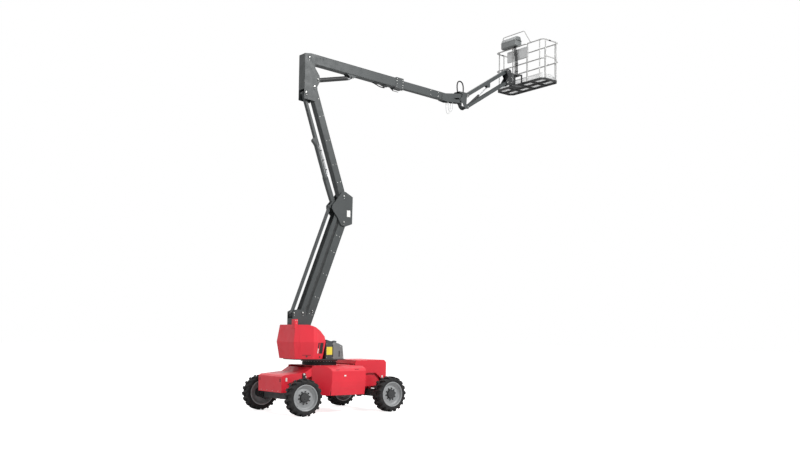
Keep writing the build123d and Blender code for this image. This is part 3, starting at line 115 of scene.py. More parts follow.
def shader(name, color, roughness, metallic=0.0, coat=0.0, specular=0.5):
    """New material with its main shader's constants set; returns (material, tree, shader node)."""
    material = bpy.data.materials.new(name)
    material.use_nodes = True
    tree = material.node_tree
    bsdf = tree.nodes["Principled BSDF"]
    for label, value in (("Base Color", (*color, 1)), ("Roughness", roughness), ("Metallic", metallic),
                         ("Coat Weight", coat), ("Coat Roughness", 0.12), ("Specular IOR Level", specular)):
        bsdf.inputs[label].default_value = value
    return material, tree, bsdf


def noise_node(tree, scale, detail=4.0, stretch=(1, 1, 1)):
    """Noise in object coordinates; returns its factor output."""
    place = tree.nodes.new("ShaderNodeTexCoord")
    mapping = tree.nodes.new("ShaderNodeMapping")
    mapping.inputs["Scale"].default_value = stretch
    noise = tree.nodes.new("ShaderNodeTexNoise")
    noise.inputs["Scale"].default_value = scale
    noise.inputs["Detail"].default_value = detail
    tree.links.new(place.outputs["Object"], mapping.inputs["Vector"])
    tree.links.new(mapping.outputs["Vector"], noise.inputs["Vector"])
    return noise.outputs["Fac"]


def ramp(tree, source, low, high, low_value, high_value):
    """Maps a factor from low..high to two values or two colours."""
    if isinstance(low_value, tuple):
        node = tree.nodes.new("ShaderNodeValToRGB")
        node.color_ramp.elements[0].position = low
        node.color_ramp.elements[1].position = high
        node.color_ramp.elements[0].color = (*low_value, 1)
        node.color_ramp.elements[1].color = (*high_value, 1)
        tree.links.new(source, node.inputs["Fac"])
        return node.outputs["Color"]
    node = tree.nodes.new("ShaderNodeMapRange")
    for label, value in (("From Min", low), ("From Max", high),
                         ("To Min", low_value), ("To Max", high_value)):
        node.inputs[label].default_value = value
    tree.links.new(source, node.inputs["Value"])
    return node.outputs["Result"]


def bump(tree, bsdf, source, strength, distance):
    """Fine relief on a shader from a factor."""
    node = tree.nodes.new("ShaderNodeBump")
    node.inputs["Strength"].default_value = strength
    node.inputs["Distance"].default_value = distance
    tree.links.new(source, node.inputs["Height"])
    tree.links.new(node.outputs["Normal"], bsdf.inputs["Normal"])


def shade(color, factor):
    return tuple(c * factor for c in color)


def paint(name, color, roughness=0.3, coat=0.5, spread=0.1, grain=260):
    """Sprayed paint: faint mottling, uneven gloss and a fine orange peel."""
    material, tree, bsdf = shader(name, color, roughness, coat=coat)
    cloud = noise_node(tree, 2.2, 5)
    tone = ramp(tree, cloud, 0.3, 0.7, shade(color, 1 - spread), shade(color, 1 + spread))
    tree.links.new(tone, bsdf.inputs["Base Color"])
    gloss = ramp(tree, noise_node(tree, 7, 6), 0.3, 0.7, roughness * 0.8, roughness * 1.25)
    tree.links.new(gloss, bsdf.inputs["Roughness"])
    bump(tree, bsdf, noise_node(tree, grain, 2), 0.03, 0.001)
    return material


def rubber(name, color, roughness=0.75, dusty=0.5):
    """Moulded rubber with dust in its low places."""
    material, tree, bsdf = shader(name, color, roughness, specular=0.35)
    dust = ramp(tree, noise_node(tree, 9, 8), 0.45, 0.8, color, shade((0.060, 0.056, 0.050), dusty))
    tree.links.new(dust, bsdf.inputs["Base Color"])
    bump(tree, bsdf, noise_node(tree, 60, 6), 0.25, 0.003)
    return material


def steel(name, color, roughness, brushed=(1, 1, 1)):
    """Bare or plated metal with fine scratches."""
    material, tree, bsdf = shader(name, color, roughness, metallic=1.0)
    scratch = noise_node(tree, 90, 5, brushed)
    tree.links.new(ramp(tree, scratch, 0.3, 0.7, roughness * 0.7, roughness * 1.5), bsdf.inputs["Roughness"])
    tree.links.new(ramp(tree, noise_node(tree, 5, 4), 0.3, 0.7, shade(color, 0.9), color),
                   bsdf.inputs["Base Color"])
    return material


def plastic(name, color, roughness=0.45, grain=0.12):
    """Moulded plastic with a fine leather grain."""
    material, tree, bsdf = shader(name, color, roughness)
    tone = ramp(tree, noise_node(tree, 4, 5), 0.3, 0.7, shade(color, 0.93), shade(color, 1.06))
    tree.links.new(tone, bsdf.inputs["Base Color"])
    bump(tree, bsdf, noise_node(tree, 420, 3), grain, 0.001)
    return material


RED = (0.74, 0.016, 0.036)
def finish_set(rows):
    """Materials by name, from rows of (name, maker, values)."""
    return {name: maker(name, *values) for name, maker, *values in rows}


finishes = finish_set([
    ("red_paint", paint, RED, 0.42, 0.12, 0.05),
    ("charcoal_paint", paint, (0.040, 0.046, 0.047), 0.46, 0.05, 0.12),
    ("black_paint", paint, (0.014, 0.015, 0.016), 0.5, 0.05, 0.2),
    ("rod_chrome", steel, (0.80, 0.81, 0.83), 0.12, (1, 1, 12)),
    ("grey_plastic", plastic, (0.17, 0.18, 0.18)),
    ("panel_plastic", plastic, (0.60, 0.61, 0.61)),
    ("rail_paint", paint, (0.40, 0.40, 0.395), 0.4, 0.3, 0.08),
    ("mesh_steel", paint, (0.66, 0.67, 0.67), 0.45, 0.0, 0.06),
    ("tyre_rubber", rubber, (0.013, 0.013, 0.014)),
    ("rim_silver", paint, (0.32, 0.33, 0.335), 0.38, 0.15, 0.08),
    ("hose_black", rubber, (0.014, 0.014, 0.015), 0.5, 0.3),
    ("hose_clear", plastic, (0.55, 0.56, 0.56), 0.4),
])
extras = finish_set([
    ("zinc", steel, (0.62, 0.62, 0.60), 0.38),
    ("hub_black", paint, (0.028, 0.029, 0.030), 0.45, 0.15, 0.2),
    ("plate_yellow", plastic, (0.78, 0.66, 0.06), 0.35, 0.05),
    ("plate_white", plastic, (0.80, 0.80, 0.78), 0.35, 0.05),
    ("lamp_clear", plastic, (0.82, 0.83, 0.80), 0.12, 0.03),
    # near-black: the real colour of the console panel, joysticks, gauge and seam lines, and also painted
    # shade inside the slots and the hood's recesses
    ("recess_black", plastic, (0.012, 0.012, 0.013), 0.7),
    ("button_red", plastic, (0.70, 0.02, 0.02), 0.25, 0.03),
    ("button_green", plastic, (0.03, 0.35, 0.08), 0.25, 0.03),
])
extra_slots = {name: "panel_plastic" for name in extras}
extra_slots.update(zinc="mesh_steel", hub_black="black_paint", recess_black="black_paint")
slot_of = {part["node"]: part["material_slot"] for part in frame["record"]["subparts"]}
# nodes whose flat faces have holes in them keep their triangles
windowed = {"platform_frame", "deck_plate", "turntable", "chassis_frame", "fly_boom", "tower", "mid_upright",
            "jib_base", "platform_mount", "steer_axle", "tie_rod"}


def soften_edges(piece, width, angle=32.0):
    """Small rounds on a piece's corners, with its flat faces kept flat."""
    weld = piece.modifiers.new("weld", "WELD")
    weld.merge_threshold = 0.00002
    if piece.name not in windowed:
        merge = piece.modifiers.new("merge", "DECIMATE")
        merge.decimate_type = "DISSOLVE"
        merge.angle_limit = math.radians(0.6)
    round_off = piece.modifiers.new("round", "BEVEL")
    round_off.width = width
    round_off.segments = 2
    round_off.limit_method = "ANGLE"
    round_off.angle_limit = math.radians(angle)
    round_off.harden_normals = True
    round_off.miter_outer = "MITER_ARC"


edge_rounds = {
    # radius of the worn corners, metres: nodes
    0.0015: "deck_plate",
    0.002: "hood_near hood_far steer_end_cover fixed_end_cover side_pod_near side_pod_far mid_link "
           "jib_base platform_mount jib_link tie_rod",
    0.003: "jib_arm platform_frame turntable mid_upright tower",
    0.004: "fly_boom upper_link rear_link chassis_frame steering_knuckle_near steering_knuckle_far",
    0.005: "main_boom steer_axle fixed_axle",
    0.006: "lower_arm upper_arm",
    0.008: "counterweight valve_box document_panel",
    0.010: "power_unit",
    0.012: "fluid_tank console",
}
round_of = {node: radius for radius, names in edge_rounds.items() for node in names.split()}
for node, obj in nodes.items():
    obj.data.materials.clear()
    obj.data.materials.append(finishes[slot_of[node]])
    if node in round_of:
        soften_edges(obj, round_of[node])
for name, node, body, radius, length, stiffness, slot, route in cords:
    cord_pieces[name].data.materials.append(finishes[slot])


# ------ building pieces

class Kit:
    """Gathers small solids of one finish on one body into a single piece."""

    def __init__(self):
        self.mesh = bmesh.new()

    def skin(self, rings, closed=False, capped=True):
        """Joins rings of points into a skin; a ring of one point closes to a tip."""
        made = [[self.mesh.verts.new(p) for p in ring] for ring in rings]
        pairs = list(zip(made, made[1:] + made[:1])) if closed else list(zip(made, made[1:]))
        for one, two in pairs:
            count = max(len(one), len(two))
            for i in range(count):
                j = (i + 1) % count
                corners = [one[i % len(one)], one[j % len(one)], two[j % len(two)], two[i % len(two)]]
                corners = [v for k, v in enumerate(corners) if v not in corners[:k]]
                if len(corners) > 2:
                    self.mesh.faces.new(corners)
        if capped and not closed:
            for ring in (made[0], made[-1]):
                if len(ring) > 2:
                    self.mesh.faces.new(ring)

    def lathe(self, origin, axis, profile, sides=24, closed=False, start=0.0):
        """Solid turned about an axis from rows of (along, radius)."""
        origin, axis = Vector(origin), Vector(axis).normalized()
        across = axis.orthogonal().normalized()
        third = axis.cross(across)
        turns = [start + 2 * math.pi * i / sides for i in range(sides)]
        spokes = [across * math.cos(a) + third * math.sin(a) for a in turns]
        rings = []
        for along, radius in profile:
            centre = origin + axis * along
            rings.append([centre + s * radius for s in spokes] if radius > 0 else [centre])
        self.skin(rings, closed)

    def box(self, one, two):
        """Block between two opposite corners."""
        (x0, x1), (y0, y1), (z0, z1) = (sorted(pair) for pair in zip(one, two))
        self.skin([[(x0, y0, z), (x1, y0, z), (x1, y1, z), (x0, y1, z)] for z in (z0, z1)])

    def plate(self, corners, thickness):
        """Flat plate from its lower face's corners, thickened along the vector given."""
        lift = Vector(thickness)
        base = [Vector(c) for c in corners]
        self.skin([base, [c + lift for c in base]])

    def bolt(self, place, axis, size, washer=True):
        """Hexagon head on a washer."""
        if washer:
            self.lathe(place, axis, [(0, size * 1.15), (size * 0.22, size * 1.15)], 16)
        self.lathe(place, axis, [(0, size), (size * 0.85, size), (size * 0.95, size * 0.85)], 6)

    def pipe(self, points, radius, sides=10):
        """Bent pipe through the points."""
        spots = [Vector(p) for p in points]
        rings = []
        side = None
        for i, spot in enumerate(spots):
            ahead_of = spots[min(i + 1, len(spots) - 1)] - spots[max(i - 1, 0)]
            direction = ahead_of.normalized()
            side = direction.orthogonal().normalized() if side is None else \
                (side - direction * side.dot(direction)).normalized()
            third = direction.cross(side)
            rings.append([spot + (side * math.cos(a) + third * math.sin(a)) * radius
                          for a in (2 * math.pi * k / sides for k in range(sides))])
        self.skin(rings)

    def piece(self, name, body, finish, slot=None, rounds=0.0, hides=()):
        """Makes the piece, rides it on its body and gives it its finish."""
        bmesh.ops.recalc_face_normals(self.mesh, faces=self.mesh.faces)
        data = bpy.data.meshes.new(name)
        self.mesh.to_mesh(data)
        self.mesh.free()
        data.polygons.foreach_set("use_smooth", [True] * len(data.polygons))
        data.set_sharp_from_angle(angle=math.radians(38))
        data.materials.append(finishes.get(finish) or extras[finish])
        made = bpy.data.objects.new(name, data)
        bpy.context.collection.objects.link(made)
        if rounds:
            bevel = made.modifiers.new("round", "BEVEL")
            bevel.width = rounds
            bevel.segments = 2
            bevel.limit_method = "ANGLE"
            bevel.angle_limit = math.radians(38)
            bevel.harden_normals = True
        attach(made, body)
        if hides:
            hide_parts(*hides)
        return made


def spot(point, y):
    """Point of the booms' plane, at a distance y from it."""
    return Vector((point[0], y, point[1]))


def run_of(start, end):
    """Maps (along, across, y) on the line start to end into space."""
    ahead = Vector((end[0] - start[0], 0, end[1] - start[1])).normalized()
    left = Vector((-ahead.z, 0, ahead.x))
    root = Vector((start[0], 0, start[1]))
    return lambda along, across, y: root + ahead * along + left * across + Vector((0, y, 0))


def offset_from(point, dx, dz):
    return (point[0] + dx, point[1] + dz)


def ahead_of(point, length, degrees):
    a = math.radians(degrees)
    return (point[0] + length * math.cos(a), point[1] + length * math.sin(a))


def turns(count, shift=0.0):
    """Evenly spaced angles round a full turn."""
    return [2 * math.pi * (k + shift) / count for k in range(count)]


SIDES = (("near", -1), ("far", 1))
RISER_FOOT = (-0.613, 1.956)
LOWER_TOP = ahead_of(RISER_FOOT, 2.8, 90 - 21.4)
KNEE = offset_from(LOWER_TOP, -0.007, 0.636)
UPPER_TOP = ahead_of(KNEE, 2.719, 90 + 19.67)
BOOM_PIN = offset_from(UPPER_TOP, -0.159, 0.686)
BOOM_FAR = ahead_of(BOOM_PIN, 1, -2)
REAR_FOOT = offset_from(RISER_FOOT, -0.347, 0.355)
MID_FOOT = offset_from(RISER_FOOT, -0.109, 0.368)
LINK_FOOT, LINK_TOP = (offset_from(p, -0.237, -0.179) for p in (KNEE, UPPER_TOP))
JIB_PIN = (4.570, 8.475)
JIB_END = ahead_of(JIB_PIN, 1.869, 32.3)
JIB_LINK_PIN, JIB_LINK_END = (offset_from(p, 0, -0.334) for p in (JIB_PIN, JIB_END))
BOOM_CYLINDER_FOOT = offset_from(UPPER_TOP, 0.094, 0.188)
BOOM_CYLINDER_HEAD = offset_from(BOOM_PIN, 1.295, -0.234)
RISER_CYLINDER_FOOT = (-0.505, 1.330)
RISER_CYLINDER_HEAD = ahead_of(RISER_FOOT, 0.450, 90 - 21.4)
lower = run_of(RISER_FOOT, LOWER_TOP)
upper = run_of(KNEE, UPPER_TOP)
boom = run_of(BOOM_PIN, BOOM_FAR)


# ------ wheels

HALF_BASE, AXLE_Z = 1.2, 0.42
WHEEL_NUTS = 10
STEER_REST = math.radians(-7)
LUGS = 18
carcass = [
    (-0.128, 0.285), (-0.131, 0.296), (-0.138, 0.306), (-0.144, 0.322), (-0.147, 0.340), (-0.145, 0.356),
    (-0.137, 0.370), (-0.122, 0.378), (-0.06, 0.383), (0.0, 0.384), (0.06, 0.383), (0.122, 0.378),
    (0.137, 0.370), (0.145, 0.356), (0.147, 0.340), (0.144, 0.322), (0.138, 0.306), (0.131, 0.296),
    (0.128, 0.285),
]
lug_run = [
    # offset from the middle plane, top radius, root radius, angle along the tread, half width
    (-0.014, 0.4180, 0.372, 0.000, 0.022), (0.040, 0.4185, 0.372, 0.055, 0.023),
    (0.086, 0.4180, 0.370, 0.094, 0.025), (0.120, 0.4140, 0.366, 0.116, 0.028),
    (0.138, 0.4040, 0.360, 0.126, 0.029), (0.1485, 0.3880, 0.352, 0.132, 0.028),
    (0.1495, 0.3640, 0.344, 0.135, 0.024),
]
rim_ring = [
    (-0.136, 0.272), (-0.136, 0.293), (-0.128, 0.293), (-0.127, 0.283), (0.127, 0.283), (0.128, 0.293),
    (0.136, 0.293), (0.139, 0.284), (0.134, 0.273), (0.112, 0.268), (0.078, 0.262), (0.066, 0.250),
    (0.058, 0.228), (0.050, 0.222), (0.050, 0.204), (0.054, 0.198), (0.0525, 0.112), (0.044, 0.112),
    (0.044, 0.232), (0.058, 0.254), (-0.108, 0.268),
]
hub_drum = [
    (-0.09, 0.056), (-0.09, 0.118), (0.030, 0.118), (0.036, 0.111), (0.060, 0.108), (0.066, 0.102),
    (0.092, 0.098), (0.098, 0.104), (0.104, 0.100), (0.105, 0.084), (0.112, 0.078), (0.112, 0.040),
    (0.118, 0.036), (0.118, 0.0), (0.008, 0.0), (0.008, 0.056),
]


def wheel_frame(end, side):
    """Hub centre and outward axle direction of a wheel."""
    turn = STEER_REST if end == "steer" else 0.0
    x = -HALF_BASE if end == "steer" else HALF_BASE
    outward = Vector((-math.sin(turn), math.cos(turn), 0)) * side
    return Vector((x, side * 0.73, AXLE_Z)) + outward * 0.27, outward


def tread_block(kit, hub, outward, turn, flip):
    """One lug from the tread's middle over the shoulder onto the side wall."""
    forward = Vector((outward.y, -outward.x, 0)) * (1 if outward.y < 0 else -1)
    rings = []
    for offset, top, root, along, half in lug_run:
        angle = turn + along
        radial = forward * math.cos(angle) + Vector((0, 0, math.sin(angle)))
        tangent = forward * -math.sin(angle) + Vector((0, 0, math.cos(angle)))
        middle = hub + outward * (offset * flip)
        rings.append([middle + radial * root - tangent * (half + 0.006),
                      middle + radial * top - tangent * half,
                      middle + radial * top + tangent * half,
                      middle + radial * root + tangent * (half + 0.006)])
    kit.skin(rings)


for end in ("steer", "fixed"):
    for side_name, side in SIDES:
        hub, outward = wheel_frame(end, side)
        name, body = f"{end}_{side_name}", f"wheel_{end}_{side_name}"
        kit = Kit()
        kit.lathe(hub, outward, carcass + [(0.10, 0.2835), (-0.10, 0.2835)], 96, closed=True)
        for row, flip in enumerate((-1, 1)):
            for k in range(LUGS):
                tread_block(kit, hub, outward, 2 * math.pi * (k + row / 2) / LUGS, flip)
        for offset, radius in ((0.1465, 0.347), (0.1435, 0.319)):
            for flip in (-1, 1):
                kit.lathe(hub + outward * (offset * flip), outward,
                          [(-0.002, radius + 0.004), (-0.002, radius - 0.004),
                           (0.0014 * flip, radius - 0.0015), (0.0014 * flip, radius + 0.0015)], 96,
                          closed=True)
        kit.piece(f"tyre_lugged_{name}", body, "tyre_rubber", rounds=0.004, hides=(f"tyre_{name}",))
        kit = Kit()
        kit.lathe(hub, outward, rim_ring, 96, closed=True)
        kit.piece(f"rim_shell_{name}", body, "rim_silver", rounds=0.0015, hides=(f"rim_{name}",))
        kit = Kit()
        kit.lathe(hub, outward, hub_drum, 64, closed=True)
        for angle in turns(WHEEL_NUTS):
            across = outward.orthogonal().normalized()
            place = hub + outward * 0.0525 + (Matrix.Rotation(angle, 3, outward) @ across) * 0.137
            kit.lathe(place, outward, [(0, 0.020), (0.004, 0.020), (0.005, 0.0165), (0.024, 0.0165),
                                       (0.027, 0.012)], 6)
            kit.lathe(place, outward, [(0.02, 0.007), (0.034, 0.007), (0.036, 0.005)], 10)
        for k in range(6):
            across = Matrix.Rotation(2 * math.pi * k / 6, 3, outward) @ outward.orthogonal().normalized()
            kit.bolt(hub + outward * 0.111 + across * 0.060, outward, 0.006)
        kit.piece(f"hub_{name}", body, "hub_black", rounds=0.001)
        kit = Kit()
        kit.lathe(hub + outward * 0.06 + outward.orthogonal().normalized() * 0.250,
                  outward, [(0, 0.006), (0.03, 0.005), (0.034, 0.003)], 10)
        kit.piece(f"valve_stem_{name}", body, "hose_black")


# ------ pins' heads and bolts

# outer faces of the plates that hold the pins, from the centre line
POST_FACE, CHEEK_FACE, JIB_FACE = 0.124, 0.130, 0.106
pin_heads = [
    # body, point, outer face from the centre line, pin radius
    ("turret", RISER_FOOT, POST_FACE, 0.030), ("turret", REAR_FOOT, POST_FACE, 0.022),
    ("turret", MID_FOOT, POST_FACE, 0.030), ("turret", RISER_CYLINDER_FOOT, POST_FACE, 0.020),
    ("mid_upright", LOWER_TOP, CHEEK_FACE, 0.030), ("mid_upright", KNEE, CHEEK_FACE, 0.030),
    ("tower", UPPER_TOP, CHEEK_FACE, 0.030), ("tower", LINK_TOP, CHEEK_FACE, 0.030),
    ("tower", BOOM_PIN, CHEEK_FACE, 0.030), ("tower", BOOM_CYLINDER_FOOT, CHEEK_FACE, 0.024),
    ("jib_base", JIB_PIN, JIB_FACE, 0.022), ("jib_base", JIB_LINK_PIN, JIB_FACE, 0.022),
    ("platform_mount", JIB_END, JIB_FACE, 0.022), ("platform_mount", JIB_LINK_END, JIB_FACE, 0.022),
    ("lower_arm", RISER_CYLINDER_HEAD, 0.109, 0.018), ("main_boom", BOOM_CYLINDER_HEAD, 0.092, 0.016),
]
keeper_kits = {}
centre_kits = {}
for body, point, reach, radius in pin_heads:
    kit = keeper_kits.setdefault(body, Kit())
    bright = centre_kits.setdefault(body, Kit())
    for side in (-1, 1):
        outward = Vector((0, side, 0))
        face = spot(point, side * reach)
        kit.lathe(face, outward, [(0, radius * 1.3), (0.004, radius * 1.3), (0.006, radius * 1.15),
                                  (0.006, radius * 0.8), (0.009, radius * 0.75), (0.009, 0.006)], 28)
        bright.lathe(face + outward * 0.007, outward,
                     [(0, radius * 0.62), (0.004, radius * 0.60), (0.005, 0.007), (0.012, 0.006),
                      (0.015, 0.003)], 24)
        kit.box(face + Vector((-0.012, 0, -radius * 2.5)), face + Vector((0.012, side * 0.005, 0)))
        bright.bolt(face + Vector((0, side * 0.005, -radius * 2.1)), outward, 0.007, washer=False)
for body, kit in keeper_kits.items():
    kit.piece(f"pin_flanges_{body}", body, "charcoal_paint", rounds=0.0008)
    centre_kits[body].piece(f"pin_ends_{body}", body, "zinc")


# ------ chassis

def both_sides(name, finish, make, rounds=0.001):
    """Makes the same chassis piece on both sides of the centre line."""
    kit = Kit()
    for side in (-1, 1):
        make(kit, side)
    kit.piece(name, "chassis", finish, rounds=rounds)


POD_FACE = 0.900


# pods: lifting slots, seam strips, panel bolts and lamps, each on both sides
def pod_slots(kit, side):
    """Lifting slots along the pod's upper slope, as flush near-black boxes: painted shade for the dark inside
    of each slot.
    """
    for x, z in ((-0.255, 1.005), (-0.205, 1.005), (0.285, 1.010), (0.345, 1.010)):
        y = side * (0.870 + 0.030 * (1.040 - z) / 0.060)
        kit.box((x - 0.022, min(y, y - side * 0.004), z - 0.009),
                (x + 0.022, max(y, y + side * 0.0015), z + 0.009))


def pod_panels(kit, side):
    y = side * POD_FACE
    for x0, x1, z0, z1 in ((-0.36, 0.545, 0.776, 0.782), (-0.36, -0.354, 0.78, 0.96),
                           (0.539, 0.545, 0.78, 0.96), (0.09, 0.094, 0.78, 0.96)):
        kit.box((x0, y, z0), (x1, y + side * 0.0016, z1))


def pod_bolts(kit, side):
    for x in (-0.60, -0.45, -0.10, 0.15, 0.35, 0.50):
        kit.bolt((x, side * 0.495, 1.098), (0, 0, 1), 0.008)


def pod_lamps(kit, side):
    kit.box((-0.0575, side * POD_FACE, 0.859), (-0.0025, side * 0.912, 0.891))


both_sides("pod_slots", "recess_black", pod_slots)
both_sides("pod_seams", "red_paint", pod_panels, 0.0006)
both_sides("deck_bolts", "zinc", pod_bolts, 0.0)
both_sides("pod_lamps", "lamp_clear", pod_lamps, 0.003)


def bumper_details():
    """Marker lamps, slots and bolts on both end faces."""
    lamps, slots, bolts = Kit(), Kit(), Kit()
    for end, x, half in ((-1, -1.5, 0.510), (1, 1.5, 0.490)):
        for side in (-1, 1):
            lamps.box((x - end * 0.125 - 0.022, side * half, 0.755),
                      (x - end * 0.125 + 0.022, side * (half + 0.008), 0.835))
            # slots in the end faces: flush near-black boxes, painted shade for the dark inside of each slot
            y = side * (half - 0.065)
            slots.box((x - end * 0.004, y - 0.016, 0.745), (x + end * 0.0015, y + 0.016, 0.815))
            for y in (0.12, half - 0.14):
                bolts.bolt((x, side * y, 0.535), (end, 0, 0), 0.008)
    lamps.piece("end_lamps", "chassis", "lamp_clear", rounds=0.004)
    slots.piece("end_slots", "chassis", "recess_black")
    bolts.piece("end_bolts", "chassis", "zinc")


bumper_details()


def axle_details():
    """Fittings, fasteners and rigid lines on the axles."""
    bolts, lines, seal = Kit(), Kit(), Kit()
    for x in (-HALF_BASE, HALF_BASE):
        for dx in (-0.085, 0.085):
            for y in (-0.12, 0.12):
                bolts.bolt((x + dx * 0.8, y * 0.9, 0.335), (0, 0, -1), 0.012)
    for a in turns(12):
        bolts.bolt((HALF_BASE - 0.19, math.cos(a) * 0.10, AXLE_Z + math.sin(a) * 0.10), (-1, 0, 0), 0.007)
    for side in (-1, 1):
        for a in turns(8, 0.5):
            bolts.bolt((HALF_BASE + math.cos(a) * 0.080, side * 0.640, AXLE_Z + math.sin(a) * 0.080),
                       (0, -side, 0), 0.006)
        lines.pipe([(-HALF_BASE + 0.17, side * 0.16, 0.466), (-HALF_BASE + 0.17, side * 0.16, 0.52),
                    (-HALF_BASE + 0.15, side * 0.12, 0.545), (-HALF_BASE + 0.06, side * 0.06, 0.55),
                    (-HALF_BASE + 0.02, side * 0.05, 0.58)], 0.009)
        seal.lathe((-HALF_BASE + 0.17, side * 0.21, AXLE_Z), (0, side, 0),
                   [(-0.012, 0.050), (0.004, 0.050), (0.010, 0.040), (0.010, 0.022)], 28)
    bolts.piece("axle_bolts", "chassis", "zinc")
    lines.piece("steering_lines", "chassis", "hose_black")
    seal.piece("steering_glands", "chassis", "black_paint", rounds=0.001)


axle_details()


def wheel_bay_bracket():
    """Dark bracket with its fittings beside each steered wheel."""
    kit, fitting = Kit(), Kit()
    for side in (-1, 1):
        kit.box((-0.95, side * 0.512, 0.80), (-0.87, side * 0.535, 0.93))
        kit.box((-0.93, side * 0.512, 0.66), (-0.89, side * 0.535, 0.81))
        fitting.lathe((-0.925, side * 0.535, 0.905), (0, side, 0),
                      [(0, 0.022), (0.014, 0.022), (0.018, 0.014), (0.034, 0.014), (0.036, 0.009)], 12)
        fitting.lathe((-0.885, side * 0.535, 0.85), (0, side, 0), [(0, 0.012), (0.03, 0.012)], 6)
    kit.piece("bay_brackets", "chassis", "black_paint", rounds=0.003)
    fitting.piece("bay_fittings", "chassis", "plate_white", rounds=0.001)


wheel_bay_bracket()


# ------ turret

SLEW_X = -0.15


def ring_bolts():
    """Bolts round the turntable, and the ring's teeth under it."""
    top, teeth = Kit(), Kit()
    for a in turns(36):
        place = Vector((SLEW_X + math.cos(a) * 0.425, math.sin(a) * 0.425, 1.23))
        if abs(place.y) > 0.511 or place.x > 0.251:
            top.bolt(place, (0, 0, 1), 0.009)
        top.bolt((place.x, place.y, 1.192), (0, 0, -1), 0.007, washer=False)
    for a in turns(96):
        out = Vector((math.cos(a), math.sin(a), 0))
        along = Vector((-math.sin(a), math.cos(a), 0))
        centre = Vector((SLEW_X, 0, 1.112))
        root, tip = centre + out * 0.398, centre + out * 0.410
        teeth.plate([root - along * 0.0085, root + along * 0.0085, tip + along * 0.005, tip - along * 0.005],
                    (0, 0, 0.060))
    top.piece("ring_bolts", "turret", "zinc")
    teeth.piece("ring_teeth", "chassis", "black_paint")


ring_bolts()


# heights of the hoods' waist, foot and top
WAIST, LOW, HIGH = 1.64, 1.25, 2.04


def facet(one, two, side):
    """A leaning wall of the hoods: maps (share along, height, proud) onto it."""
    a, b = Vector((one[0], one[1] * side, 0)), Vector((two[0], two[1] * side, 0))
    ahead = (b - a).normalized()
    outward = Vector((ahead.y, -ahead.x, 0))
    if outward.y * side < 0:
        outward = -outward

    def place(share, z, proud=0.0):
        lean = 0.06 * (WAIST - z) / (WAIST - LOW) if z < WAIST else 0.06 * (z - WAIST) / (HIGH - WAIST)
        return a + (b - a) * share + outward * (proud - lean) + Vector((0, 0, z))

    return place, outward


hood_walls = [((-1.115, 0.375), (-0.720, 0.620)), ((-0.720, 0.620), (-0.620, 0.620)),
              ((-0.620, 0.620), (-0.320, 0.505))]


def on_wall(kit, place, share, heights, proud0, proud1):
    """Panel on a leaning wall between two shares and two heights."""
    (s0, s1), (z0, z1) = share, heights
    kit.skin([[place(s0, z0, p), place(s1, z0, p), place(s1, z1, p), place(s0, z1, p)]
              for p in (proud0, proud1)])


for side_name, side in SIDES:
    body = f"hood_{side_name}"
    front, front_out = facet(*hood_walls[2], side)
    flank, flank_out = facet(*hood_walls[0], side)
    # near-black panels behind the louvres and in the front recess are painted shade for the dark inside the
    # vent and the recess; the thin one on the flank is a dark groove line
    kit = Kit()
    on_wall(kit, front, (0.34, 0.74), (1.376, 1.628), -0.002, 0.0015)
    on_wall(kit, flank, (0.42, 0.86), (1.335, 1.345), -0.002, 0.0015)
    on_wall(kit, front, (0.12, 0.26), (1.500, 1.628), -0.002, 0.0012)
    kit.piece(f"hood_recess_{side_name}", body, "recess_black")
    kit = Kit()
    for k in range(8):
        z = 1.395 + k * 0.029
        on_wall(kit, front, (0.36, 0.72), (z, z + 0.009), 0.001, 0.007)
    kit.piece(f"hood_louvres_{side_name}", body, "black_paint", rounds=0.0015)
    kit = Kit()
    on_wall(kit, front, (0.14, 0.24), (1.385, 1.492), -0.001, 0.004)
    kit.piece(f"hood_strip_{side_name}", body, "plate_white", rounds=0.001)
    kit = Kit()
    for s0, s1, z0, z1 in ((0.30, 0.34, 1.366, 1.638), (0.74, 0.78, 1.366, 1.638), (0.30, 0.78, 1.362, 1.376),
                           (0.30, 0.78, 1.628, 1.638)):
        on_wall(kit, front, (s0, s1), (z0, z1), -0.002, 0.006)
    on_wall(kit, flank, (0.345, 0.36), (1.29, 1.62), -0.002, 0.003)
    kit.piece(f"hood_frame_rim_{side_name}", body, "red_paint", rounds=0.002)
    kit = Kit()
    for place, outward in ((front(0.5, 1.300), front_out), (flank(0.65, 1.310), flank_out)):
        kit.lathe(place, outward, [(-0.002, 0.020), (0.006, 0.020), (0.009, 0.016), (0.010, 0.010)], 20)
    kit.piece(f"hood_latches_{side_name}", body, "black_paint", rounds=0.001)


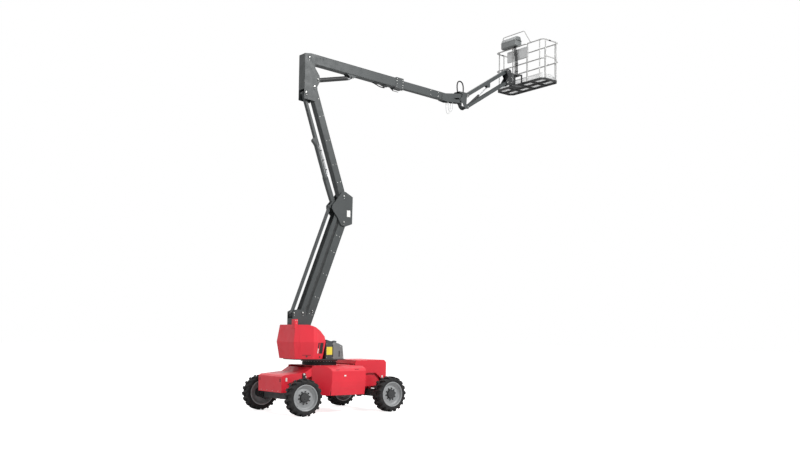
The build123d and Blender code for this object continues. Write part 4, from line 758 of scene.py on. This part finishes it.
def tank_details():
    """Blank plate, seams, gauge and cap on the valve box and the tank."""
    plate, bolts, dark, cap = Kit(), Kit(), Kit(), Kit()
    plate.box((-0.288, -0.5035, 1.345), (-0.128, -0.4995, 1.530))
    plate.piece("blank_plate_valve_box", "turret", "plate_yellow", rounds=0.001)
    for x in (-0.278, -0.138):
        for z in (1.355, 1.520):
            bolts.lathe((x, -0.5035, z), (0, -1, 0), [(0, 0.004), (0.002, 0.0035)], 10)
    for x in (-0.29, -0.125):
        for z in (1.28, 1.60):
            bolts.bolt((x, -0.500, z), (0, -1, 0), 0.006)
    for x, z in ((-0.08, 1.29), (0.18, 1.29), (-0.08, 1.60), (0.12, 1.54)):
        bolts.bolt((x, -0.500, z), (0, -1, 0), 0.007)
    dark.box((-0.1062, -0.501, 1.255), (-0.1038, -0.236, 1.648))
    dark.box((0.145, -0.5025, 1.40), (0.165, -0.498, 1.412))
    dark.box((0.06, -0.503, 1.30), (0.085, -0.499, 1.44))
    for a in turns(20):
        cap.box((-0.012 + math.cos(a) * 0.052 - 0.004, -0.40 + math.sin(a) * 0.052 - 0.004, 1.632),
                (-0.012 + math.cos(a) * 0.052 + 0.004, -0.40 + math.sin(a) * 0.052 + 0.004, 1.668))
    cap.lathe((-0.012, -0.40, 1.669), (0, 0, 1), [(0, 0.046), (0.004, 0.044), (0.006, 0.030), (0.006, 0.012),
                                                   (0.012, 0.010), (0.012, 0.0)], 32)
    bolts.piece("tank_bolts", "turret", "zinc")
    dark.piece("tank_seam_gauge", "turret", "recess_black")
    cap.piece("tank_cap_ribs", "turret", "black_paint", rounds=0.001)


tank_details()


def valve_bank():
    """Manifold, valves and rigid lines on the far side of the turret's front."""
    block, spool, lines = Kit(), Kit(), Kit()
    block.box((-0.24, 0.24, 1.246), (0.14, 0.44, 1.36))
    for k in range(6):
        x = -0.20 + k * 0.058
        spool.box((x - 0.022, 0.255, 1.36), (x + 0.022, 0.42, 1.400))
        spool.lathe((x, 0.30, 1.40), (0, 0, 1), [(0, 0.017), (0.05, 0.017), (0.056, 0.010)], 16)
        spool.lathe((x, 0.37, 1.40), (0, 0, 1), [(0, 0.013), (0.03, 0.013)], 6)
        lines.pipe([(x, 0.439, 1.30), (x, 0.470, 1.30), (x + 0.01, 0.485, 1.285), (x + 0.012, 0.490, 1.248)],
                   0.008)
    block.piece("valve_manifold", "turret", "charcoal_paint", rounds=0.004)
    spool.piece("valve_spools", "turret", "rim_silver", rounds=0.001)
    lines.piece("valve_lines", "turret", "hose_black")


valve_bank()


def lug_bolts():
    """Fasteners on the tail's lug."""
    bolts = Kit()
    for x, z in ((-1.065, 2.135), (-1.025, 2.135), (-1.045, 2.075)):
        bolts.bolt((x, -0.360, z), (0, -1, 0), 0.007)
    bolts.piece("lug_bolts", "turret", "zinc")


lug_bolts()


# ------ arms and the boom

def arm_details():
    """Weld beads and fasteners along the arms and the booms."""
    seams = [
        # body, map, from, to, across, side reach
        ("lower_arm", lower, 0.22, 2.58, 0.100, 0.095), ("upper_arm", upper, 0.22, 2.50, 0.090, 0.082),
    ]
    for body, place, start, stop, across, reach in seams:
        kit, bolts = Kit(), Kit()
        for side in (-1, 1):
            for edge in (-1, 1):
                kit.pipe([place(start + (stop - start) * k / 12, edge * (across - 0.010), side * reach)
                          for k in range(13)], 0.0032, 6)
        for along in (0.36, 0.80, 1.40, 2.0, 2.42):
            for side in (-1, 1):
                for across in (0.045, -0.045):
                    bolts.bolt(place(along, across, side * reach), (0, side, 0), 0.008)
        kit.piece(f"weld_beads_{body}", body, "charcoal_paint")
        bolts.piece(f"arm_bolts_{body}", body, "zinc")
    kit = Kit()
    for side in (-1, 1):
        for along in (2.72, 2.92):
            for across in (-0.10, 0.10, -0.04, 0.04):
                kit.bolt(boom(along, across, side * 0.098), (0, side, 0), 0.009)
    for along in (2.74, 2.90):
        for y in (-0.05, 0.05):
            for face, flip in ((0.143, 1), (-0.143, -1)):
                axis = boom(0, flip, 0) - boom(0, 0, 0)
                kit.bolt(boom(along, face, y), axis, 0.009)
    kit.piece("collar_bolts", "main_boom", "zinc")
    kit = Kit()
    for side in (-1, 1):
        for along in (0.34, 0.42):
            kit.bolt(boom(along, 0.05, side * 0.088), (0, side, 0), 0.010)
        for across in (0.112, -0.112):
            kit.pipe([boom(0.20 + 2.45 * k / 10, across, side * 0.0885) for k in range(11)], 0.003, 6)
    kit.piece("boom_beads", "main_boom", "charcoal_paint")
    kit = Kit()
    for side in (-1, 1):
        for along in (3.90, 4.16):
            for across in (0.055, -0.055):
                kit.bolt(boom(along, across, side * 0.083), (0, side, 0), 0.009)
    kit.piece("nose_bolts", "fly_boom", "zinc")


def boom_guard():
    """Bent guard bar under the main boom and the wedge under its collar."""
    bar, wedge = Kit(), Kit()
    for y in (-0.050, 0.050):
        bar.pipe([boom(along, across, y) for along, across in
                  ((2.02, -0.120), (2.10, -0.135), (2.26, -0.176), (2.30, -0.182), (2.40, -0.182),
                   (2.425, -0.176), (2.43, -0.160), (2.36, -0.122))], 0.013, 12)
    bar.pipe([boom(2.37, -0.182, -0.05), boom(2.37, -0.182, 0.05)], 0.011, 12)
    for low, high in ((-0.096, -0.088), (0.088, 0.096)):
        base = [boom(2.60, -0.100, low), boom(2.70, -0.100, low), boom(2.76, -0.170, low),
                boom(2.92, -0.170, low), boom(2.92, -0.182, low), boom(2.74, -0.184, low)]
        wedge.plate(base, (0, high - low, 0))
    bar.piece("boom_guard_bar", "main_boom", "black_paint")
    wedge.piece("collar_wedge", "main_boom", "black_paint", rounds=0.001)


def upright_plates():
    """Blank plates on the upright's cheeks, where such machines carry their labels."""
    plate, rivets = Kit(), Kit()
    for side in (-1, 1):
        plate.box((0.500, side * CHEEK_FACE, 4.700), (0.600, side * 0.1315, 4.860))
        for x in (0.508, 0.592):
            for z in (4.708, 4.852):
                rivets.lathe((x, side * 0.1315, z), (0, side, 0), [(0, 0.004), (0.0015, 0.003)], 10)
    plate.piece("blank_plate_upright", "mid_upright", "plate_white")
    rivets.piece("upright_rivets", "mid_upright", "zinc")


def link_line():
    """Bright rigid line clipped along the front of the upper link's tube."""
    link = run_of(LINK_FOOT, LINK_TOP)
    line, clips = Kit(), Kit()
    line.pipe([link(0.69, -0.038, -0.030), link(0.72, -0.050, -0.030), link(1.42, -0.050, -0.030),
               link(1.45, -0.036, -0.030)], 0.011, 14)
    for along in (0.82, 1.06, 1.30):
        clips.skin([[link(place, across, y) for across, y in
                     ((-0.030, -0.045), (-0.063, -0.045), (-0.063, -0.015), (-0.030, -0.015))]
                    for place in (along - 0.012, along + 0.012)])
    line.piece("link_line", "upper_link", "rod_chrome")
    clips.piece("link_line_clips", "upper_link", "black_paint", rounds=0.001)


arm_details()
boom_guard()
upright_plates()
link_line()


# ------ platform

X_LOW, X_HIGH, Y_LOW, Y_HIGH, FLOOR = 6.710, 7.410, -0.955, 0.955, 9.230
RAIL_HIGH = FLOOR + 1.12
RAIL_MID = FLOOR + 0.56
TOE_LOW, TOE_TOP = 9.2245, 9.3742
POST_IN = 0.019


def edge_walk(inset, radius, step=0.02):
    """Points and outward directions round the platform's rounded outline, with their path lengths."""
    x0, x1, y0, y1 = X_LOW + inset, X_HIGH - inset, Y_LOW + inset, Y_HIGH - inset
    corners = [(x1 - radius, y0 + radius, -90), (x1 - radius, y1 - radius, 0),
               (x0 + radius, y1 - radius, 90), (x0 + radius, y0 + radius, 180)]
    ring = []
    for cx, cy, start in corners:
        for k in range(9):
            a = math.radians(start + 90 * k / 8)
            ring.append(Vector((cx + radius * math.cos(a), cy + radius * math.sin(a), 0)))
    lengths = [0.0]
    for a, b in zip(ring, ring[1:] + ring[:1]):
        lengths.append(lengths[-1] + (b - a).length)

    def at(s):
        s %= lengths[-1]
        for k, (a, b) in enumerate(zip(ring, ring[1:] + ring[:1])):
            if s <= lengths[k + 1]:
                share = (s - lengths[k]) / max(1e-9, lengths[k + 1] - lengths[k])
                along = (b - a).normalized()
                return a + (b - a) * share, Vector((along.y, -along.x, 0))
        return ring[0], Vector((1, 0, 0))

    return at, lengths[-1]


def band(kit, at, total, count, heights, wall):
    """Upright strip that runs all round the platform."""
    low, high = (Vector((0, 0, z)) for z in heights)
    rings = []
    for k in range(count):
        place, out = at(total * k / count)
        inner = place - out * wall
        rings.append([place + low, place + high, inner + high, inner + low])
    kit.skin(rings, closed=True)


def toe_board_mesh():
    """Expanded-metal toe boards between two flat bars."""
    at, total = edge_walk(0.0375, 0.0725)
    kit = Kit()
    for z0, z1 in ((TOE_LOW, TOE_LOW + 0.022), (TOE_TOP - 0.022, TOE_TOP)):
        band(kit, at, total, 150, (z0, z1), 0.003)
    strands = 236
    pitch = total / strands
    for k in range(strands):
        for slant in (-1, 1):
            rows = []
            for share in (0.0, 0.5, 1.0):
                place, out = at(pitch * (k + slant * share * 4.2))
                along = Vector((-out.y, out.x, 0))
                z = TOE_LOW + 0.018 + (TOE_TOP - TOE_LOW - 0.036) * share
                half, deep = along * 0.0021, out * 0.001
                middle = place - out * 0.0015 + Vector((0, 0, z))
                rows.append([middle - half - deep, middle + half - deep, middle + half + deep,
                             middle - half + deep])
            kit.skin(rows)
    kit.piece("toe_mesh", "platform", "mesh_steel", hides=("toe_boards",))


toe_board_mesh()


def floor_grating():
    """Open grating: bearing bars along the platform, cross bars over it, and a rim."""
    kit = Kit()
    inset = 0.0412
    x0, x1, y0, y1 = X_LOW + inset, X_HIGH - inset, Y_LOW + inset, Y_HIGH - inset
    radius = 0.068
    low, high = 9.2247, FLOOR

    def cut(v, v0, v1):
        """How far a bar stops short inside the rounded corners."""
        d = min(v - v0, v1 - v)
        return 0.0 if d >= radius else radius - math.sqrt(max(0.0, radius ** 2 - (radius - d) ** 2))

    for k in range(1, 30):
        x = x0 + (x1 - x0) * k / 30
        c = cut(x, x0, x1)
        kit.box((x - 0.0016, y0 + c, low), (x + 0.0016, y1 - c, high - 0.0006))
    for k in range(1, 48):
        y = y0 + (y1 - y0) * k / 48
        c = cut(y, y0, y1)
        kit.box((x0 + c, y - 0.0022, low + 0.0012), (x1 - c, y + 0.0022, high))
    at, total = edge_walk(inset, radius)
    band(kit, at, total, 120, (low, high), 0.006)
    kit.piece("floor_grating", "platform", "mesh_steel", hides=("platform_floor",))


floor_grating()


def rail_fittings():
    """Post feet, clamps, the gate's latch and the harness anchors."""
    feet, clamps, dark = Kit(), Kit(), Kit()
    posts = [(X_LOW + POST_IN, y) for y in (-0.805, -0.330, 0.250, 0.805)]
    posts += [(X_HIGH - POST_IN, y) for y in (-0.805, -0.420, 0.300, 0.805)]
    posts += [(6.832, -0.936), (7.288, -0.936), (7.060, 0.936)]
    for x, y in posts:
        feet.lathe((x, y, 9.2245), (0, 0, 1), [(0, 0.0185), (0.05, 0.0185), (0.053, 0.017)], 20)
        for z in (RAIL_MID, RAIL_HIGH):
            if z == RAIL_HIGH or abs(y) < 0.9:
                feet.lathe((x, y, z), (0, 0, 1), [(-0.034, 0.0178), (-0.019, 0.0205), (0.0, 0.0205)], 20)
    for x, y in ((6.729, -0.30), (6.729, 0.30)):
        clamps.lathe((x, y, RAIL_HIGH), (0, 1, 0), [(-0.02, 0.0225), (0.02, 0.0225)], 24)
        clamps.box((x + 0.018, y - 0.006, RAIL_HIGH - 0.045), (x + 0.026, y + 0.006, RAIL_HIGH - 0.005))
    for y in (-0.60, 0.60):
        clamps.box((7.362, y - 0.020, RAIL_MID - 0.006), (7.376, y + 0.020, RAIL_MID + 0.006))
        clamps.lathe((7.340, y, RAIL_MID), (0, 0, 1),
                     [(-0.005, 0.026), (0.005, 0.026), (0.005, 0.014), (-0.005, 0.014)], 24, closed=True)
    for y in (-0.72, 0.72):
        dark.lathe((7.0, y * 1.30, RAIL_HIGH), (1, 0, 0), [(-0.045, 0.0193), (0.045, 0.0193)], 24)
    feet.piece("post_collars", "platform", "rail_paint", rounds=0.0008)
    clamps.piece("rail_clamps", "platform", "zinc", rounds=0.001)
    dark.piece("rail_sleeves", "platform", "hose_black", rounds=0.002)


rail_fittings()


def console_details():
    """Controls on the console's sloping face and lid, with no lettering."""
    knobs, dark, red, green, plates = Kit(), Kit(), Kit(), Kit(), Kit()
    low = RAIL_HIGH + 0.0193
    # the face that a rider sees runs from (0.095, 0.285) down to (0.145, 0.160)
    top, foot = Vector((X_LOW + 0.095, 0, low + 0.285)), Vector((X_LOW + 0.145, 0, low + 0.160))
    down = (foot - top).normalized()
    out = Vector((-down.z, 0, down.x))
    if out.x < 0:
        out = -out

    def on_face(share, y, proud=0.0):
        return top + (foot - top) * share + Vector((0, y, 0)) + out * proud

    dark.skin([[on_face(share, y, p) for share, y in ((0.08, 0.06), (0.08, 0.58), (0.92, 0.58), (0.92, 0.06))]
               for p in (-0.001, 0.002)])
    for y in (0.12, 0.18, 0.24, 0.30, 0.36):
        for share in (0.30, 0.70):
            knobs.lathe(on_face(share, y, 0.002), out, [(0, 0.011), (0.003, 0.011), (0.004, 0.006),
                                                        (0.016, 0.003), (0.018, 0.001)], 14)
    for y in (0.44, 0.52):
        dark.lathe(on_face(0.5, y, 0.002), out,
                   [(0, 0.026), (0.006, 0.026), (0.012, 0.018), (0.020, 0.010), (0.055, 0.008),
                    (0.062, 0.016), (0.086, 0.018), (0.094, 0.012), (0.096, 0.0)], 24)
    red.lathe(on_face(0.5, 0.085, 0.002), out, [(0, 0.010), (0.010, 0.010), (0.012, 0.019), (0.020, 0.019),
                                                (0.025, 0.012), (0.026, 0.0)], 28)
    green.lathe(on_face(0.2, 0.40, 0.002), out, [(0, 0.008), (0.006, 0.008), (0.009, 0.004)], 16)
    plates.box((X_LOW + 0.0955, 0.34, RAIL_MID + 0.30), (X_LOW + 0.0985, 0.46, RAIL_MID + 0.38))
    for y in (0.03, 0.59):
        for z in (low + 0.04, low + 0.16):
            knobs.bolt((X_LOW - 0.105, y, z), (-1, 0, 0), 0.005)
    dark.box((X_LOW - 0.106, -0.0012, low + 0.158), (X_LOW + 0.146, 0.6212, low + 0.161))
    knobs.piece("console_switches", "platform", "zinc")
    dark.piece("console_panel", "platform", "recess_black", rounds=0.001)
    red.piece("console_stop_button", "platform", "button_red")
    green.piece("console_start_button", "platform", "button_green")
    plates.piece("console_blank_plate", "platform", "plate_white", rounds=0.001)


console_details()


def rotator_details():
    """Rigid lines and fasteners on the mount, and the platform's service lines."""
    bolts, lines, straps = Kit(), Kit(), Kit()
    for side in (-1, 1):
        for x, z in ((6.28, 9.16), (6.28, 9.45), (6.30, 9.30)):
            bolts.bolt((x, side * JIB_FACE, z), (0, side, 0), 0.008)
        for y, z in ((0.09, 9.13), (0.09, 9.42)):
            bolts.bolt((6.250, side * y * 0.75, z), (1, 0, 0), 0.008)
    for z in (9.123, 9.417):
        for a in turns(8, 0.5):
            bolts.bolt((6.42 + math.cos(a) * 0.065, math.sin(a) * 0.065, z),
                       (0, 0, 1 if z > 9.3 else -1), 0.007)
    bolts.piece("rotator_bolts", "platform_mount", "zinc")
    for k in range(4):
        y = 0.030 + 0.028 * k
        lines.pipe([(6.70, y, 9.50), (6.700, y, 9.90), (6.694, y + 0.02, 10.05), (6.690, y + 0.05, 10.28),
                    (6.688, y + 0.06, 10.372)], 0.009)
    for z in (9.60, 9.84, 10.12):
        y = 0.010 if z < 10 else 0.05
        straps.box((6.686, y, z - 0.008), (6.713, 0.135 if z < 10 else 0.175, z + 0.008))
    lines.piece("console_lines", "platform", "hose_black")
    straps.piece("console_line_straps", "platform", "black_paint", rounds=0.002)


rotator_details()


# ------ stage

def make_stage():
    """White floor that keeps the shadow, white background, and soft studio light."""
    mesh = bpy.data.meshes.new("floor")
    size = 90
    corners = [(-size, -size, 0), (size, -size, 0), (size, size, 0), (-size, size, 0)]
    mesh.from_pydata(corners, [], [(0, 1, 2, 3)])
    floor = bpy.data.objects.new("floor", mesh)
    bpy.context.collection.objects.link(floor)
    material, tree, bsdf = shader("floor", (0.80, 0.80, 0.80), 1.0, specular=0.0)
    glow = tree.nodes.new("ShaderNodeEmission")
    glow.inputs["Color"].default_value = (1, 1, 1, 1)
    glow.inputs["Strength"].default_value = 0.80
    rays = tree.nodes.new("ShaderNodeLightPath")
    blend = tree.nodes.new("ShaderNodeAddShader")
    chosen = tree.nodes.new("ShaderNodeMixShader")
    out = tree.nodes["Material Output"]
    tree.links.new(bsdf.outputs[0], blend.inputs[0])
    tree.links.new(glow.outputs[0], blend.inputs[1])
    tree.links.new(rays.outputs["Is Camera Ray"], chosen.inputs[0])
    tree.links.new(bsdf.outputs[0], chosen.inputs[1])
    tree.links.new(blend.outputs[0], chosen.inputs[2])
    tree.links.new(chosen.outputs[0], out.inputs["Surface"])
    mesh.materials.append(material)
    world = bpy.data.worlds.new("studio")
    bpy.context.scene.world = world
    world.use_nodes = True
    tree = world.node_tree
    tree.nodes.clear()
    rays = tree.nodes.new("ShaderNodeLightPath")
    mix = tree.nodes.new("ShaderNodeMixShader")
    last = rays.outputs["Is Camera Ray"]
    for other in ("Is Glossy Ray", "Is Transmission Ray"):
        either = tree.nodes.new("ShaderNodeMath")
        either.operation = "MAXIMUM"
        tree.links.new(last, either.inputs[0])
        tree.links.new(rays.outputs[other], either.inputs[1])
        last = either.outputs[0]
    tree.links.new(last, mix.inputs[0])
    for place, strength in ((1, 0.34), (2, 1.0)):
        shown = tree.nodes.new("ShaderNodeBackground")
        shown.inputs["Color"].default_value = (1, 1, 1, 1)
        shown.inputs["Strength"].default_value = strength
        tree.links.new(shown.outputs[0], mix.inputs[place])
    out = tree.nodes.new("ShaderNodeOutputWorld")
    tree.links.new(mix.outputs[0], out.inputs["Surface"])
    lamps = [
        # name, place, aim, size, watts
        ("key", (5, -17, 15), (0, 0, 4), 6, 3300),
        ("fill", (-15, -9, 8), (0, 0, 3), 10, 450),
        ("top", (2, 4, 20), (2, 0, 5), 12, 1300),
    ]
    for name, place, aim, size, watts in lamps:
        data = bpy.data.lights.new(name, "AREA")
        data.shape = "DISK"
        data.size = size
        data.energy = watts
        lamp = bpy.data.objects.new(name, data)
        lamp.location = place
        lamp.rotation_euler = (Vector(aim) - Vector(place)).to_track_quat("-Z", "Y").to_euler()
        bpy.context.collection.objects.link(lamp)
    bpy.context.scene.view_settings.view_transform = "Standard"


make_stage()
